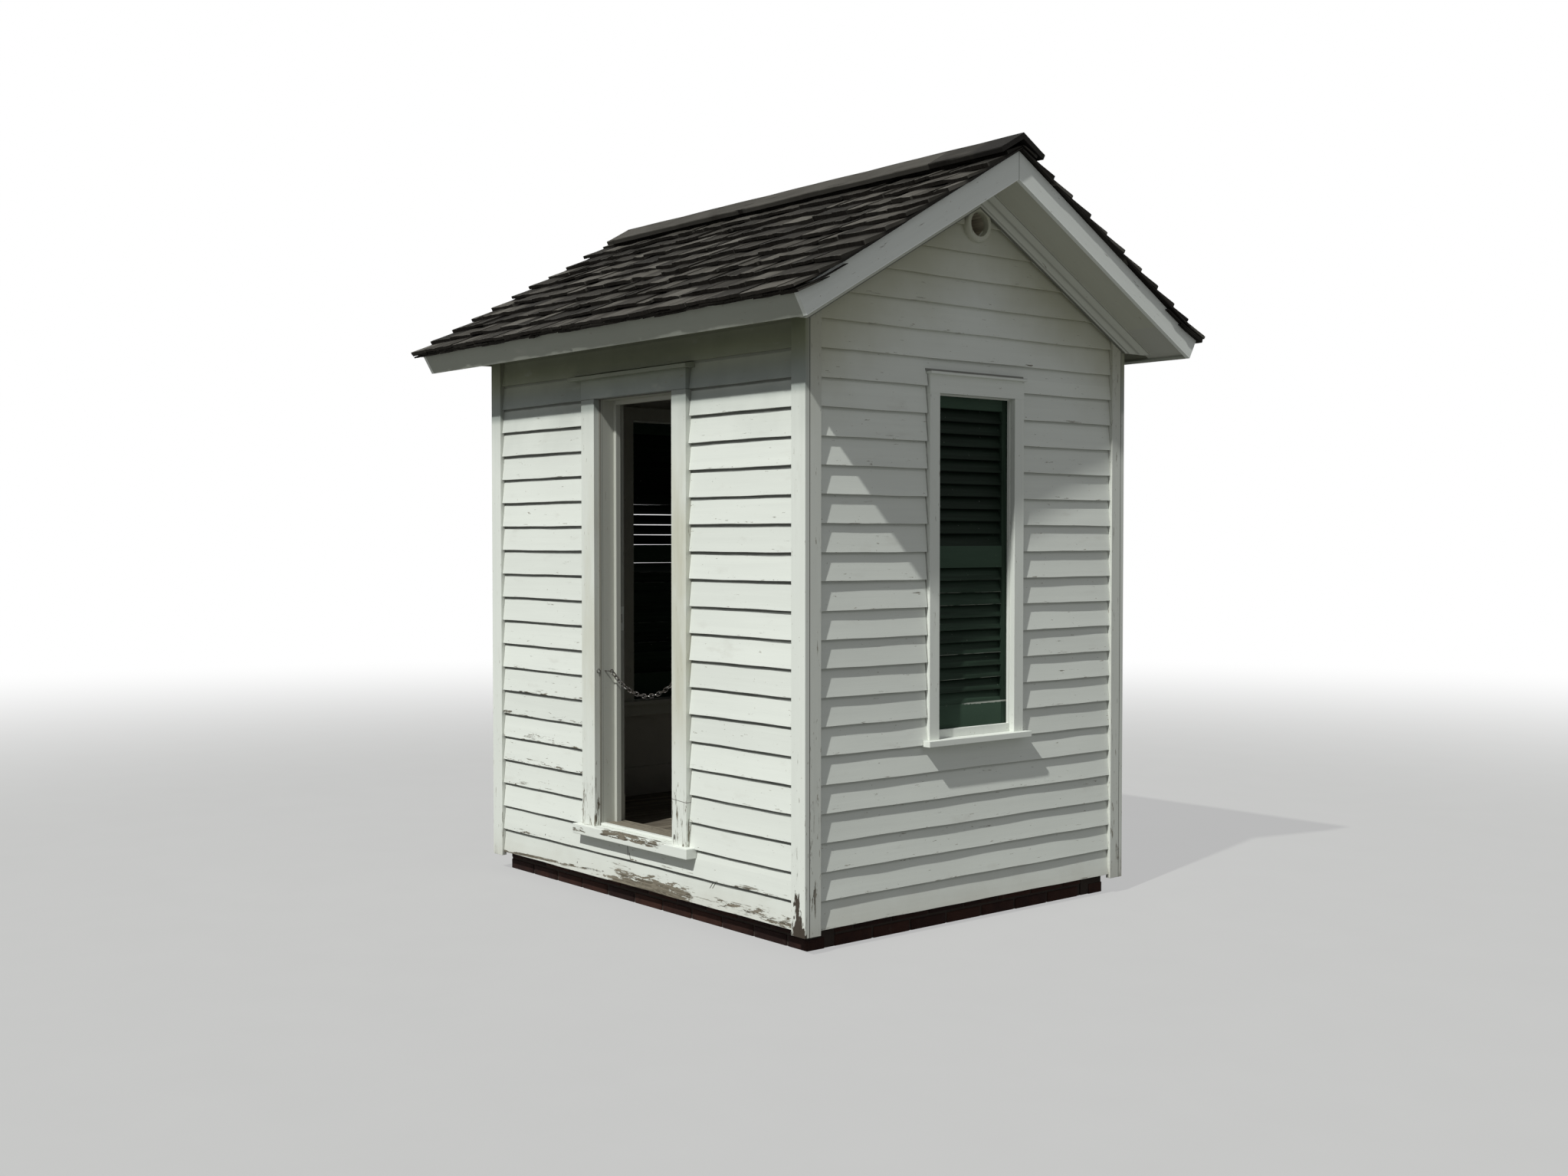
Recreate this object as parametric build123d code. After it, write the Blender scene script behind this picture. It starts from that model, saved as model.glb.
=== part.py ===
from build123d import *
import math
import os

# Wooden outhouse with a gable roof, in millimetres.
# +X runs along the door wall to the right, -Y faces the door wall, +Z is up.
# The origin is on the ground, at the middle of the overall box.

# Walls, measured over the outer faces of the corner boards
wall_length = 2375.0
wall_depth = 1930.0
wall_core = 126.0
trim_thick = 24.0

# Brick foundation
foundation_top = 112.0
foundation_thick = 150.0
foundation_setback = 64.0

# Clapboards
siding_lap = 22.0
course = 114.3
siding_butt = 13.0
siding_tip = 4.0

# Corner boards
corner_board_width = 84.0
corner_board_drop = 18.0

# Roof: heights over the plane that runs along the lower edges of the rake boards
roof_pitch = 29.63
eave_overhang = 184.0
eave_height = 2451.0
rake_overhang_right = 225.0
rake_overhang_left = 262.0
board_thick = 20.0
soffit_reveal = 10.0
soffit_thick = 12.0
rafter_depth = 60.0
rafter_width = 45.0
deck_thick = 20.0

# Wooden shingles
shingle_exposure = 131.0
shingle_courses = 11
shingle_butt = 38.0
shingle_waist = 26.0
shingle_eave_overhang = 26.0
shingle_rake_right = 25.0
shingle_rake_left = 70.0
ridge_cap_width = 66.0
ridge_cap_thick = 25.0
ridge_cap_short = 118.0

# Rake moulding under the gable soffits
moulding_reach = 36.0
moulding_drop = 82.0
moulding_lip = 12.0
moulding_foot_rise = 29.0
moulding_fillet = 10.0
moulding_lip_thick = 9.0
moulding_bead = 14.0
moulding_waist = 22.0
cove_depth = 12.0
roll_depth = 1.5

# Floor and ceiling
floor_top = 306.0
floor_thick = 28.0
joist_width = 50.0
joist_count = 4
ceiling_drop = 104.0
ceiling_thick = 15.0
baseboard_height = 146.0
baseboard_thick = 18.0

# Doorway
door_from_corner = 868.0
door_casing_gap = 592.0
door_clear_width = 572.0
door_casing_width = 103.0
door_casing_proud = 6.0
door_sill_top = 325.0
door_sill_thick = 45.0
door_sill_front = 35.0
door_sill_horn = 38.0
door_head_drop = 193.0
door_head_reveal = 4.0
door_head_casing = 88.0
door_cap_thick = 25.0
door_cap_edge = 16.0
door_cap_front = 30.0
door_cap_left_horn = 78.0
door_cap_right_horn = 28.0
jamb_thick = 20.0
door_stop_setback = 95.0
door_stop_depth = 26.0
door_stop_thick = 19.0
threshold_thick = 14.0
threshold_setback = 20.0
strike_height = 1266.0
strike_length = 110.0
strike_width = 22.0
strike_thick = 1.6
strike_setback = 2.0
strike_rim = 6.0
strike_keep_foot = 35.0
strike_keep_length = 40.0

# Windows, one in the middle of each gable wall
window_width = 456.0
window_sill_top = 795.0
window_head_drop = 218.0
window_casing_width = 58.0
window_head_casing = 77.0
window_cap_thick = 12.0
window_cap_front = 14.0
window_cap_horn = 6.0
window_sill_thick = 25.0
window_sill_front = 28.0
window_sill_horn = 26.0
window_frame_thick = 18.0
window_frame_relief = 4.0
bead_groove = 6.0
bead_depth = 15.0
bead_thick = 6.0
bead_foot = 36.0
bead_top = 10.0
inner_casing_width = 70.0
inner_casing_thick = 18.0
stool_thick = 20.0
stool_front = 20.0
stool_horn = 20.0
apron_height = 58.0

# Louvred shutters
shutter_depth = 32.0
shutter_clearance = 1.5
stile_width = 36.0
bottom_rail = 135.0
middle_rail = 93.0
top_rail = 57.5
slat_count = 11
slat_width = 52.0
slat_thick = 6.0
slat_tilt = 60.0
slat_housing = 6.0

# Round vent near the peak of each gable
vent_drop = 150.0
vent_bore = 104.0
vent_ring_width = 23.0
vent_ring_proud = 6.0
vent_ring_bevel = 7.0

# Chain across the doorway
chain_height = 1031.0
chain_setback = 45.0
link_wire = 5.0
link_inner_length = 28.5
link_inner_width = 11.5
link_count = 19
wire_corners = 6
wire_sides = 8
link_clearance = 0.3
eye_radius = 8.5
eye_flat = 1.0
eye_wire = 5.0
left_eye_reach = 56.0
right_eye_reach = 13.0
eye_screw_length = 16.0
eye_screw_wire = 5.0
spare_eye_reach = 11.0
spare_eye_radius = 8.0
spare_eye_wire = 3.6

# Positions worked out from the values above
siding_bottom = foundation_top - siding_lap
pitch = math.radians(roof_pitch)
right_reach = rake_overhang_right + shingle_rake_right
left_reach = rake_overhang_left + shingle_rake_left
x_right = wall_length / 2 + (left_reach - right_reach) / 2
x_left = x_right - wall_length
x_middle = (x_right + x_left) / 2
y_front = -wall_depth / 2
y_back = wall_depth / 2
core_right = x_right - trim_thick
core_left = x_left + trim_thick
core_front = y_front + trim_thick
core_back = y_back - trim_thick
room_right = core_right - wall_core
room_left = core_left + wall_core
room_front = core_front + wall_core
room_back = core_back - wall_core
rake_right = x_right + rake_overhang_right
rake_left = x_left - rake_overhang_left
shingle_right = rake_right + shingle_rake_right
shingle_left = rake_left - shingle_rake_left

# Roof planes, as heights over the lower edges of the rake boards
soffit_under = soffit_reveal
rafter_under = soffit_under + soffit_thick
deck_under = rafter_under + rafter_depth
deck_top = deck_under + deck_thick
ridge_height = eave_height + math.tan(pitch) * (wall_depth / 2 + eave_overhang)
eave_run = (wall_depth / 2 + eave_overhang) / math.cos(pitch)
shingle_run = eave_run + shingle_eave_overhang
ceiling_height = eave_height - ceiling_drop
door_head_height = eave_height - door_head_drop
window_head = eave_height - window_head_drop
vent_height = ridge_height - vent_drop
moulding_foot = eave_height + moulding_foot_rise


def block(x0, x1, y0, y1, z0, z1):
    """A straight piece between two corners."""
    size = (x1 - x0, y1 - y0, z1 - z0)
    return Pos((x0 + x1) / 2, (y0 + y1) / 2, (z0 + z1) / 2) * Box(*size)


def prism_along_x(points, x0, x1):
    """A piece with an outline of (y, z) points, running from x0 to x1."""
    outline = Polyline(*[(x0, y, z) for y, z in points], close=True)
    return extrude(make_face(outline), amount=x1 - x0, dir=(1, 0, 0))


def prism_along_y(points, y0, y1):
    """A piece with an outline of (x, z) points, running from y0 to y1."""
    outline = Polyline(*[(x, y0, z) for x, z in points], close=True)
    return extrude(make_face(outline), amount=y1 - y0, dir=(0, 1, 0))


def roof_line(y, offset):
    """Height at depth y of the roof plane that lies offset over the rake boards."""
    return ridge_height - math.tan(pitch) * abs(y) + offset / math.cos(pitch)


def front_slope(run, offset):
    """The (y, z) point at a run down the front slope, offset over the rake boards."""
    y = -run * math.cos(pitch) - offset * math.sin(pitch)
    z = ridge_height - run * math.sin(pitch) + offset * math.cos(pitch)
    return (y, z)


def slope_board(low, high, run, x0, x1):
    """A board on the front slope, cut plumb at the ridge."""
    at_ridge_low = (0, roof_line(0, low))
    at_ridge_high = (0, roof_line(0, high))
    points = [at_ridge_low, front_slope(run, low), front_slope(run, high), at_ridge_high]
    return prism_along_x(points, x0, x1)


def under_roof(offset):
    """Everything below the two roof planes, to trim a piece to the roof."""
    reach = wall_depth
    points = [(-reach, 0), (reach, 0), (reach, roof_line(reach, offset))]
    points += [(0, roof_line(0, offset)), (-reach, roof_line(reach, offset))]
    return prism_along_x(points, x_left - wall_length, x_right + wall_length)


def to_back(piece):
    return piece.mirror(Plane.XZ)


def to_left(piece):
    return piece.mirror(Plane(origin=(x_middle, 0, 0), z_dir=(1, 0, 0)))


def clapboard_outline(bottom, top):
    """Depth and height points of lapped boards, from the sheathing outwards."""
    points = [(0, bottom)]
    level = bottom
    while level < top:
        following = min(level + course, top)
        share = (following - level) / course
        points.append((siding_butt, level))
        points.append((siding_butt + (siding_tip - siding_butt) * share, following))
        level = following
    points.append((0, top))
    return points


# Doorway positions
door_right = x_right - door_from_corner
door_left = door_right - door_casing_gap
door_middle = (door_right + door_left) / 2
jamb_right = door_middle + door_clear_width / 2
jamb_left = door_middle - door_clear_width / 2
rough_right = jamb_right + jamb_thick
rough_left = jamb_left - jamb_thick
rough_top = door_head_height + jamb_thick
door_sill_bottom = door_sill_top - door_sill_thick
casing_outer_right = door_right + door_casing_width
casing_outer_left = door_left - door_casing_width
door_casing_top = door_head_height + door_head_reveal
door_cap_bottom = door_casing_top + door_head_casing
door_cap_top = door_cap_bottom + door_cap_thick

# Window positions, measured from the middle of a gable wall
window_half = window_width / 2
window_casing_outer = window_half + window_casing_width
window_frame_inner = window_half + window_frame_relief
window_frame_outer = window_frame_inner + window_frame_thick
window_frame_top = window_head + window_frame_relief
window_rough_top = window_frame_top + window_frame_thick
window_sill_bottom = window_sill_top - window_sill_thick
shutter_face = core_right - bead_groove - bead_depth


def make_foundation():
    front = y_front + foundation_setback
    inner = front + foundation_thick
    right = x_right - foundation_setback
    left = x_left + foundation_setback
    wall = block(left, right, front, inner, 0, foundation_top)
    side = block(right - foundation_thick, right, inner, -inner, 0, foundation_top)
    return Compound(children=[wall, to_back(wall)]), Compound(children=[side, to_left(side)])


def make_floor():
    deck = block(room_left, room_right, room_front, room_back, floor_top - floor_thick, floor_top)
    joists = []
    span = room_back - room_front - joist_width
    for number in range(joist_count):
        y0 = room_front + span * number / (joist_count - 1)
        y1 = y0 + joist_width
        joists.append(block(room_left, room_right, y0, y1, foundation_top, floor_top - floor_thick))
    return deck, Compound(children=joists)


def eave_wall(x0, x1, z0, z1=None):
    """A stretch of the front wall, up to z1 or to the slope of the rafters."""
    low = [(core_front, z0), (room_front, z0)]
    if z1 is None:
        high = [(room_front, roof_line(room_front, rafter_under))]
        high += [(core_front, roof_line(core_front, rafter_under))]
    else:
        high = [(room_front, z1), (core_front, z1)]
    return prism_along_x(low + high, x0, x1)


def make_eave_walls():
    left = eave_wall(core_left, rough_left, foundation_top)
    right = eave_wall(rough_right, core_right, foundation_top)
    over = eave_wall(rough_left, rough_right, rough_top)
    under = eave_wall(rough_left, rough_right, foundation_top, door_sill_bottom)
    back = to_back(eave_wall(core_left, core_right, foundation_top))
    return left, right, over, under, back


def tube_along_x(x0, x1, radius):
    """A round bar or hole at the height of the vent."""
    return Pos((x0 + x1) / 2, 0, vent_height) * Rot(0, 90, 0) * Cylinder(radius, x1 - x0)


def make_gable_wall():
    points = [(room_front, foundation_top), (room_back, foundation_top)]
    points += [(room_back, roof_line(room_back, rafter_under))]
    points += [(0, roof_line(0, rafter_under))]
    points += [(room_front, roof_line(room_front, rafter_under))]
    wall = prism_along_x(points, room_right, core_right)
    wall -= block(room_right, core_right, -window_frame_outer, window_frame_outer,
                  window_sill_bottom, window_rough_top)
    wall -= tube_along_x(room_right, core_right, vent_bore / 2)
    return wall


def make_front_siding(trim):
    top = roof_line(core_front, soffit_under)
    outline = [(core_front - depth, z) for depth, z in clapboard_outline(siding_bottom, top)]
    x0 = x_left + corner_board_width
    x1 = x_right - corner_board_width
    boards = prism_along_x(outline, x0, x1) & under_roof(soffit_under)
    boards -= block(door_left, door_right, y_front, core_front, door_sill_bottom, door_cap_bottom)
    for piece in trim:
        boards -= piece
    return boards


def make_back_siding():
    top = roof_line(core_back, soffit_under)
    outline = [(core_back + depth, z) for depth, z in clapboard_outline(siding_bottom, top)]
    x0 = x_left + corner_board_width
    x1 = x_right - corner_board_width
    return prism_along_x(outline, x0, x1) & under_roof(soffit_under)


def make_gable_siding(trim):
    top = roof_line(0, soffit_under)
    outline = [(core_right + depth, z) for depth, z in clapboard_outline(siding_bottom, top)]
    y0 = y_front + corner_board_width
    y1 = y_back - corner_board_width
    boards = prism_along_y(outline, y0, y1)
    boards &= under_roof(soffit_under - moulding_drop + moulding_lip)
    boards -= block(core_right, x_right, -window_half, window_half, window_sill_bottom, window_head)
    boards -= tube_along_x(core_right, x_right, vent_bore / 2 + vent_ring_width)
    boards -= block(core_right, x_right, -vent_bore / 2, vent_bore / 2, vent_height, ridge_height)
    for piece in trim:
        boards -= piece
    return boards


def make_corner_boards():
    foot = siding_bottom - corner_board_drop
    top = ridge_height
    inner = x_right - corner_board_width
    front_face = block(inner, x_right, y_front, core_front, foot, top)
    front_face &= under_roof(soffit_under)
    side_end = y_front + corner_board_width
    side_face = block(core_right, x_right, core_front, side_end, foot, top)
    side_face &= under_roof(soffit_under - moulding_drop + moulding_lip)
    faces = [front_face, to_left(front_face)]
    faces += [to_back(face) for face in faces]
    sides = [side_face, to_left(side_face)]
    sides += [to_back(side) for side in sides]
    return Compound(children=faces), Compound(children=sides)


def make_door_trim():
    face = y_front - door_casing_proud
    right = block(door_right, casing_outer_right, face, core_front, door_sill_top, door_casing_top)
    left = block(casing_outer_left, door_left, face, core_front, door_sill_top, door_casing_top)
    head = block(casing_outer_left, casing_outer_right, face, core_front,
                 door_casing_top, door_cap_bottom)
    cap_front = y_front - door_cap_front
    points = [(core_front, door_cap_bottom), (cap_front, door_cap_bottom)]
    points += [(cap_front, door_cap_bottom + door_cap_edge), (core_front, door_cap_top)]
    cap_left = casing_outer_left - door_cap_left_horn
    cap_right = casing_outer_right + door_cap_right_horn
    cap = prism_along_x(points, cap_left, cap_right)
    sill_left = casing_outer_left - door_sill_horn
    sill_right = casing_outer_right + door_sill_horn
    sill_front = y_front - door_sill_front
    sill = block(sill_left, sill_right, sill_front, core_front, door_sill_bottom, door_sill_top)
    sill += block(rough_left, rough_right, core_front, room_front, door_sill_bottom, door_sill_top)
    return Compound(children=[left, right]), head, cap, sill


def make_door_frame():
    """Jambs and head in one, with the holes that the chain's eyes screw into."""
    frame = block(rough_left, rough_right, core_front, room_front, door_sill_top, rough_top)
    frame -= block(jamb_left, jamb_right, core_front, room_front, door_sill_top, door_head_height)
    for screw in eye_screws():
        frame -= screw
    return frame


def make_door_stops():
    y0 = y_front + door_stop_setback
    y1 = y0 + door_stop_depth
    stops = block(jamb_left, jamb_right, y0, y1, door_sill_top, door_head_height)
    stops -= block(jamb_left + door_stop_thick, jamb_right - door_stop_thick, y0, y1,
                   door_sill_top, door_head_height - door_stop_thick)
    return stops


def make_threshold(stops):
    y0 = y_front + threshold_setback
    board = block(jamb_left, jamb_right, y0, room_front, door_sill_top, door_sill_top + threshold_thick)
    return board - stops


def make_strike():
    """A thin plate in the rabbet, with the slot that takes the latch."""
    y1 = room_front - strike_setback
    y0 = y1 - strike_width
    z0 = strike_height - strike_length / 2
    keep = z0 + strike_keep_foot
    plate = block(jamb_left, jamb_left + strike_thick, y0, y1, z0, z0 + strike_length)
    plate -= block(jamb_left, jamb_left + strike_thick, y0 + strike_rim, y1 - strike_rim,
                   keep, keep + strike_keep_length)
    return plate


def make_window_trim():
    casing = block(core_right, x_right, window_half, window_casing_outer, window_sill_top, window_head)
    casings = [casing, to_back(casing)]
    cap_bottom = window_head + window_head_casing
    head = block(core_right, x_right, -window_casing_outer, window_casing_outer, window_head, cap_bottom)
    cap_reach = window_casing_outer + window_cap_horn
    head += block(core_right, x_right + window_cap_front, -cap_reach, cap_reach,
                  cap_bottom, cap_bottom + window_cap_thick)
    sill_reach = window_casing_outer + window_sill_horn
    sill = block(core_right, x_right + window_sill_front, -sill_reach, sill_reach,
                 window_sill_bottom, window_sill_top)
    sill += block(room_right, core_right, -window_frame_outer, window_frame_outer,
                  window_sill_bottom, window_sill_top)
    return casings, head, sill


def make_window_frame():
    """Jambs and head, with the stop bead that the shutter closes against."""
    inner = window_frame_inner
    frame = block(room_right, core_right, -window_frame_outer, window_frame_outer,
                  window_sill_top, window_rough_top)
    frame -= block(room_right, core_right, -inner, inner, window_sill_top, window_frame_top)
    x1 = core_right - bead_groove
    bead = block(shutter_face, x1, -inner, inner, window_sill_top, window_frame_top)
    bead -= block(shutter_face, x1, -inner + bead_thick, inner - bead_thick,
                  window_sill_top + bead_foot, window_frame_top - bead_top)
    return frame + bead


def make_shutter():
    """Two fields of fixed slats between two stiles and three rails."""
    half = window_frame_inner - shutter_clearance
    x0 = shutter_face - shutter_depth
    top = window_frame_top - shutter_clearance
    field = (top - window_sill_top - bottom_rail - middle_rail - top_rail) / 2
    slat_pitch = field / slat_count
    low_field = window_sill_top + bottom_rail
    high_field = low_field + field + middle_rail
    inner = half - stile_width
    panel = block(x0, shutter_face, -half, half, window_sill_top, top)
    panel -= block(x0, shutter_face, -inner, inner, low_field, low_field + field)
    panel -= block(x0, shutter_face, -inner, inner, high_field, high_field + field)
    slat = Box(slat_width, 2 * (inner + slat_housing), slat_thick)
    for base in (low_field, high_field):
        for number in range(slat_count):
            height = base + slat_pitch * (number + 0.5)
            panel += Pos((x0 + shutter_face) / 2, 0, height) * Rot(0, slat_tilt, 0) * slat
    return panel


def make_inner_casing():
    """Casing round the window inside the room, on a stool with an apron below it."""
    face = room_right - inner_casing_thick
    outer = window_frame_inner + inner_casing_width
    stool_bottom = window_sill_top - stool_thick
    trim = block(face, room_right, -outer, outer, stool_bottom - apron_height,
                 window_frame_top + inner_casing_width)
    trim -= block(face, room_right, -window_frame_inner, window_frame_inner,
                  window_sill_top, window_frame_top)
    reach = outer + stool_horn
    return trim + block(face - stool_front, room_right, -reach, reach, stool_bottom, window_sill_top)


def make_vent_ring(mouldings):
    """A turned ring with a bevelled rim, cut to fit under the rake mouldings."""
    thick = trim_thick + vent_ring_proud
    ring = Cylinder(vent_bore / 2 + vent_ring_width, thick)
    ring = chamfer(ring.faces().sort_by(Axis.Z)[-1].edges(), vent_ring_bevel)
    ring -= Cylinder(vent_bore / 2, thick)
    ring = Pos(core_right + thick / 2, 0, vent_height) * Rot(0, 90, 0) * ring
    ring &= under_roof(soffit_under - moulding_drop + moulding_lip)
    return ring - mouldings


def make_roof_deck():
    return slope_board(deck_under, deck_top, eave_run - board_thick,
                       rake_left + board_thick, rake_right - board_thick)


def make_rafters():
    """Pairs of rafters: one inside each rake board, the others over the room."""
    first = rake_left + board_thick
    last = rake_right - board_thick - rafter_width
    stations = [first, core_left, x_left + wall_length / 3, x_right - wall_length / 3]
    stations += [core_right - rafter_width, last]
    pairs = []
    for x in stations:
        front = slope_board(rafter_under, deck_under, eave_run - board_thick, x, x + rafter_width)
        pairs.append(front + to_back(front))
    return Compound(children=pairs)


def make_soffits():
    """Soffit boards: a strip along the eave, and one up each rake to the ridge."""
    x0 = rake_left + board_thick
    x1 = rake_right - board_thick
    sheet = slope_board(soffit_under, rafter_under, eave_run - board_thick, x0, x1)
    eave = sheet & block(x0, x1, -wall_depth, core_front, 0, ridge_height * 2)
    right = sheet & block(core_right, x1, core_front, 0, 0, ridge_height * 2)
    left = sheet & block(x0, core_left, core_front, 0, 0, ridge_height * 2)
    return eave, [left, right]


def make_fascia():
    points = [front_slope(eave_run - board_thick, 0), front_slope(eave_run, 0)]
    points += [front_slope(eave_run, deck_top), front_slope(eave_run - board_thick, deck_top)]
    return prism_along_x(points, rake_left + board_thick, rake_right - board_thick)


def make_rake_boards():
    right = slope_board(0, deck_top, eave_run, rake_right - board_thick, rake_right)
    left = slope_board(0, deck_top, eave_run, rake_left, rake_left + board_thick)
    return [left, right]


def make_shingles():
    """Lapped courses: each butt stands proud of the course below it."""
    points = [front_slope(shingle_run, deck_top)]
    run = shingle_run
    for number in range(shingle_courses):
        points.append(front_slope(run, deck_top + shingle_butt))
        run -= shingle_exposure
        if run > 0:
            points.append(front_slope(run, deck_top + shingle_waist))
    points.append((0, roof_line(0, deck_top + shingle_waist)))
    points.append((0, roof_line(0, deck_top)))
    return prism_along_x(points, shingle_left, shingle_right)


def make_ridge_cap():
    low = deck_top + shingle_butt
    side = slope_board(low, low + ridge_cap_thick, ridge_cap_width,
                       shingle_left + ridge_cap_short, shingle_right)
    return side + to_back(side)


def make_rake_moulding():
    """An ogee on a flat back, mitred at the peak and cut level at its feet."""
    upper = soffit_under
    foot = upper - moulding_drop
    back_foot = foot + moulding_lip
    reach = trim_thick + moulding_reach
    lip = trim_thick + moulding_lip_thick
    waist = trim_thick + moulding_waist
    plane = Plane(origin=(core_right, 0, ridge_height), x_dir=(1, 0, 0),
                  z_dir=(0, -math.cos(pitch), -math.sin(pitch)))
    crown = upper - moulding_fillet
    turn = (crown + foot + moulding_bead) / 2
    base = foot + moulding_bead
    outline = Polyline((lip, base), (lip, foot), (trim_thick, foot), (trim_thick, back_foot),
                       (0, back_foot), (0, upper), (reach, upper), (reach, crown))
    outline += ThreePointArc((reach, crown), (reach - cove_depth, (crown + turn) / 2), (waist, turn))
    outline += ThreePointArc((waist, turn), (waist - roll_depth, (turn + base) / 2), (lip, base))
    face = plane * make_face(outline)
    leg = extrude(face, amount=eave_run, dir=plane.z_dir)
    leg += extrude(face, amount=moulding_drop, dir=-plane.z_dir)
    leg &= block(core_right, core_right + reach, -wall_depth, 0, moulding_foot, ridge_height * 2)
    leg -= block(core_right, x_right, -wall_depth, core_front, 0, ridge_height * 2)
    return leg + to_back(leg)


def make_ceiling():
    top = ceiling_height + ceiling_thick
    return block(room_left, room_right, room_front, room_back, ceiling_height, top)


def make_baseboard():
    """A board round the room, open where the doorway is."""
    top = floor_top + baseboard_height
    board = baseboard_thick
    ring = block(room_left, room_right, room_front, room_back, floor_top, top)
    ring -= block(room_left + board, room_right - board, room_front + board, room_back - board,
                  floor_top, top)
    ring -= block(rough_left, rough_right, room_front, room_front + board, floor_top, top)
    return ring


def catenary_shape(half_span, length):
    """The shape value of a chain of this length hung over twice half_span."""
    low = half_span / 50
    high = half_span * 50
    for step in range(80):
        shape = (low + high) / 2
        if 2 * shape * math.sinh(half_span / shape) > length:
            low = shape
        else:
            high = shape
    return shape


def wire_loop(straight, radius, wire):
    """A closed loop of wire in the XY plane: two half turns joined by straight runs along X."""
    path = Polyline((0, radius), (straight, radius))
    for side in (1, -1):
        turn = []
        for number in range(wire_corners + 1):
            angle = math.pi * number / wire_corners
            turn.append((side * (straight + radius * math.sin(angle)), side * radius * math.cos(angle)))
        path += Polyline(*turn)
    path += Polyline((straight, -radius), (-straight, -radius))
    path += Polyline((-straight, radius), (0, radius))
    section = Plane(origin=(0, radius, 0), z_dir=(1, 0, 0)) * RegularPolygon(wire / 2, wire_sides)
    return sweep(section, path=path, transition=Transition.RIGHT)


def make_link():
    radius = (link_inner_width + link_wire) / 2
    straight = (link_inner_length + link_wire) / 2 - radius
    return wire_loop(straight, radius, link_wire)


def make_chain():
    """Links hung in a catenary between the two eyes, each turned square to the next."""
    spacing = link_inner_length - link_clearance
    hold = (link_wire + link_clearance) / 2
    lead = eye_radius - eye_wire / 2 - link_wire / 2 - link_clearance + hold
    length = 2 * lead + link_count * spacing
    left = jamb_left + left_eye_reach
    right = jamb_right - right_eye_reach
    half_span = (right - left) / 2
    middle = (left + right) / 2
    shape = catenary_shape(half_span, length)
    lowest = chain_height - shape * (math.cosh(half_span / shape) - 1)
    joints = [-length / 2]
    joints += [-length / 2 + lead + spacing * number for number in range(1, link_count)]
    joints.append(length / 2)
    points = []
    for along in joints:
        x = shape * math.asinh(along / shape)
        points.append((middle + x, lowest + shape * (math.cosh(x / shape) - 1)))
    link = make_link()
    links = []
    for number in range(link_count):
        x0, z0 = points[number]
        x1, z1 = points[number + 1]
        run = math.hypot(x1 - x0, z1 - z0)
        start = 0
        if number == 0:
            start = lead
        share = (start + spacing / 2) / run
        slope = math.degrees(math.atan2(z1 - z0, x1 - x0))
        place = Pos(x0 + (x1 - x0) * share, y_front + chain_setback, z0 + (z1 - z0) * share)
        links.append(place * Rot(0, -slope, 0) * Rot(90 * (number % 2), 0, 0) * link)
    print("chain length", round(length), "mm, sag", round(chain_height - lowest), "mm")
    return Compound(children=links)


def bar_along_x(x0, x1, y, z, radius):
    return Pos((x0 + x1) / 2, y, z) * Rot(0, 90, 0) * Cylinder(radius, x1 - x0)


def eye_screws():
    """The threaded ends of the eyes, as far as they stand in the jambs."""
    radius = eye_screw_wire / 2
    y = y_front + chain_setback
    left = bar_along_x(jamb_left - eye_screw_length, jamb_left, y, chain_height, radius)
    right = bar_along_x(jamb_right, jamb_right + eye_screw_length, y, chain_height, radius)
    spare_x = (jamb_left + door_left) / 2
    spare = Pos(spare_x, core_front + eye_screw_length / 2, chain_height) * Rot(90, 0, 0)
    spare = spare * Cylinder(spare_eye_wire / 2, eye_screw_length)
    return left, right, spare


def make_chain_eyes():
    """Two screw eyes that carry the chain, and a smaller spare one."""
    left_screw, right_screw, spare_screw = eye_screws()
    y = y_front + chain_setback
    ring = Rot(90, 0, 0) * wire_loop(eye_flat, eye_radius, eye_wire)
    left_x = jamb_left + left_eye_reach
    left = Pos(left_x, y, chain_height) * ring
    left += bar_along_x(jamb_left, left_x - eye_radius, y, chain_height, eye_screw_wire / 2)
    left += left_screw
    right_x = jamb_right - right_eye_reach
    right = Pos(right_x, y, chain_height) * ring
    right += bar_along_x(right_x + eye_radius, jamb_right, y, chain_height, eye_screw_wire / 2)
    right += right_screw
    spare_x = (jamb_left + door_left) / 2
    spare_y = core_front - spare_eye_reach
    spare = wire_loop(eye_flat, spare_eye_radius, spare_eye_wire)
    spare = Pos(spare_x, spare_y, chain_height) * Rot(0, 90, 0) * spare
    neck = spare_eye_reach - spare_eye_radius
    stem = Rot(90, 0, 0) * Cylinder(spare_eye_wire / 2, neck)
    spare += Pos(spare_x, core_front - neck / 2, chain_height) * stem
    spare += spare_screw
    return Compound(children=[left, right, spare])


os.makedirs("parts", exist_ok=True)


def save(name, shape):
    export_step(shape, "parts/" + name + ".step")


def both_gables(piece):
    return Compound(children=[to_left(piece), piece])


foundation_long, foundation_short = make_foundation()
save("foundation_front_and_back", foundation_long)
save("foundation_sides", foundation_short)
floor_deck, floor_joists = make_floor()
save("floor_deck", floor_deck)
save("floor_joists", floor_joists)

wall_left, wall_right, wall_over, wall_under, wall_back = make_eave_walls()
save("front_wall_left", wall_left)
save("front_wall_right", wall_right)
save("front_wall_over_door", wall_over)
save("front_wall_under_door", wall_under)
save("back_wall", wall_back)
gable_wall = make_gable_wall()
save("right_gable_wall", gable_wall)
save("left_gable_wall", to_left(gable_wall))

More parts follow.
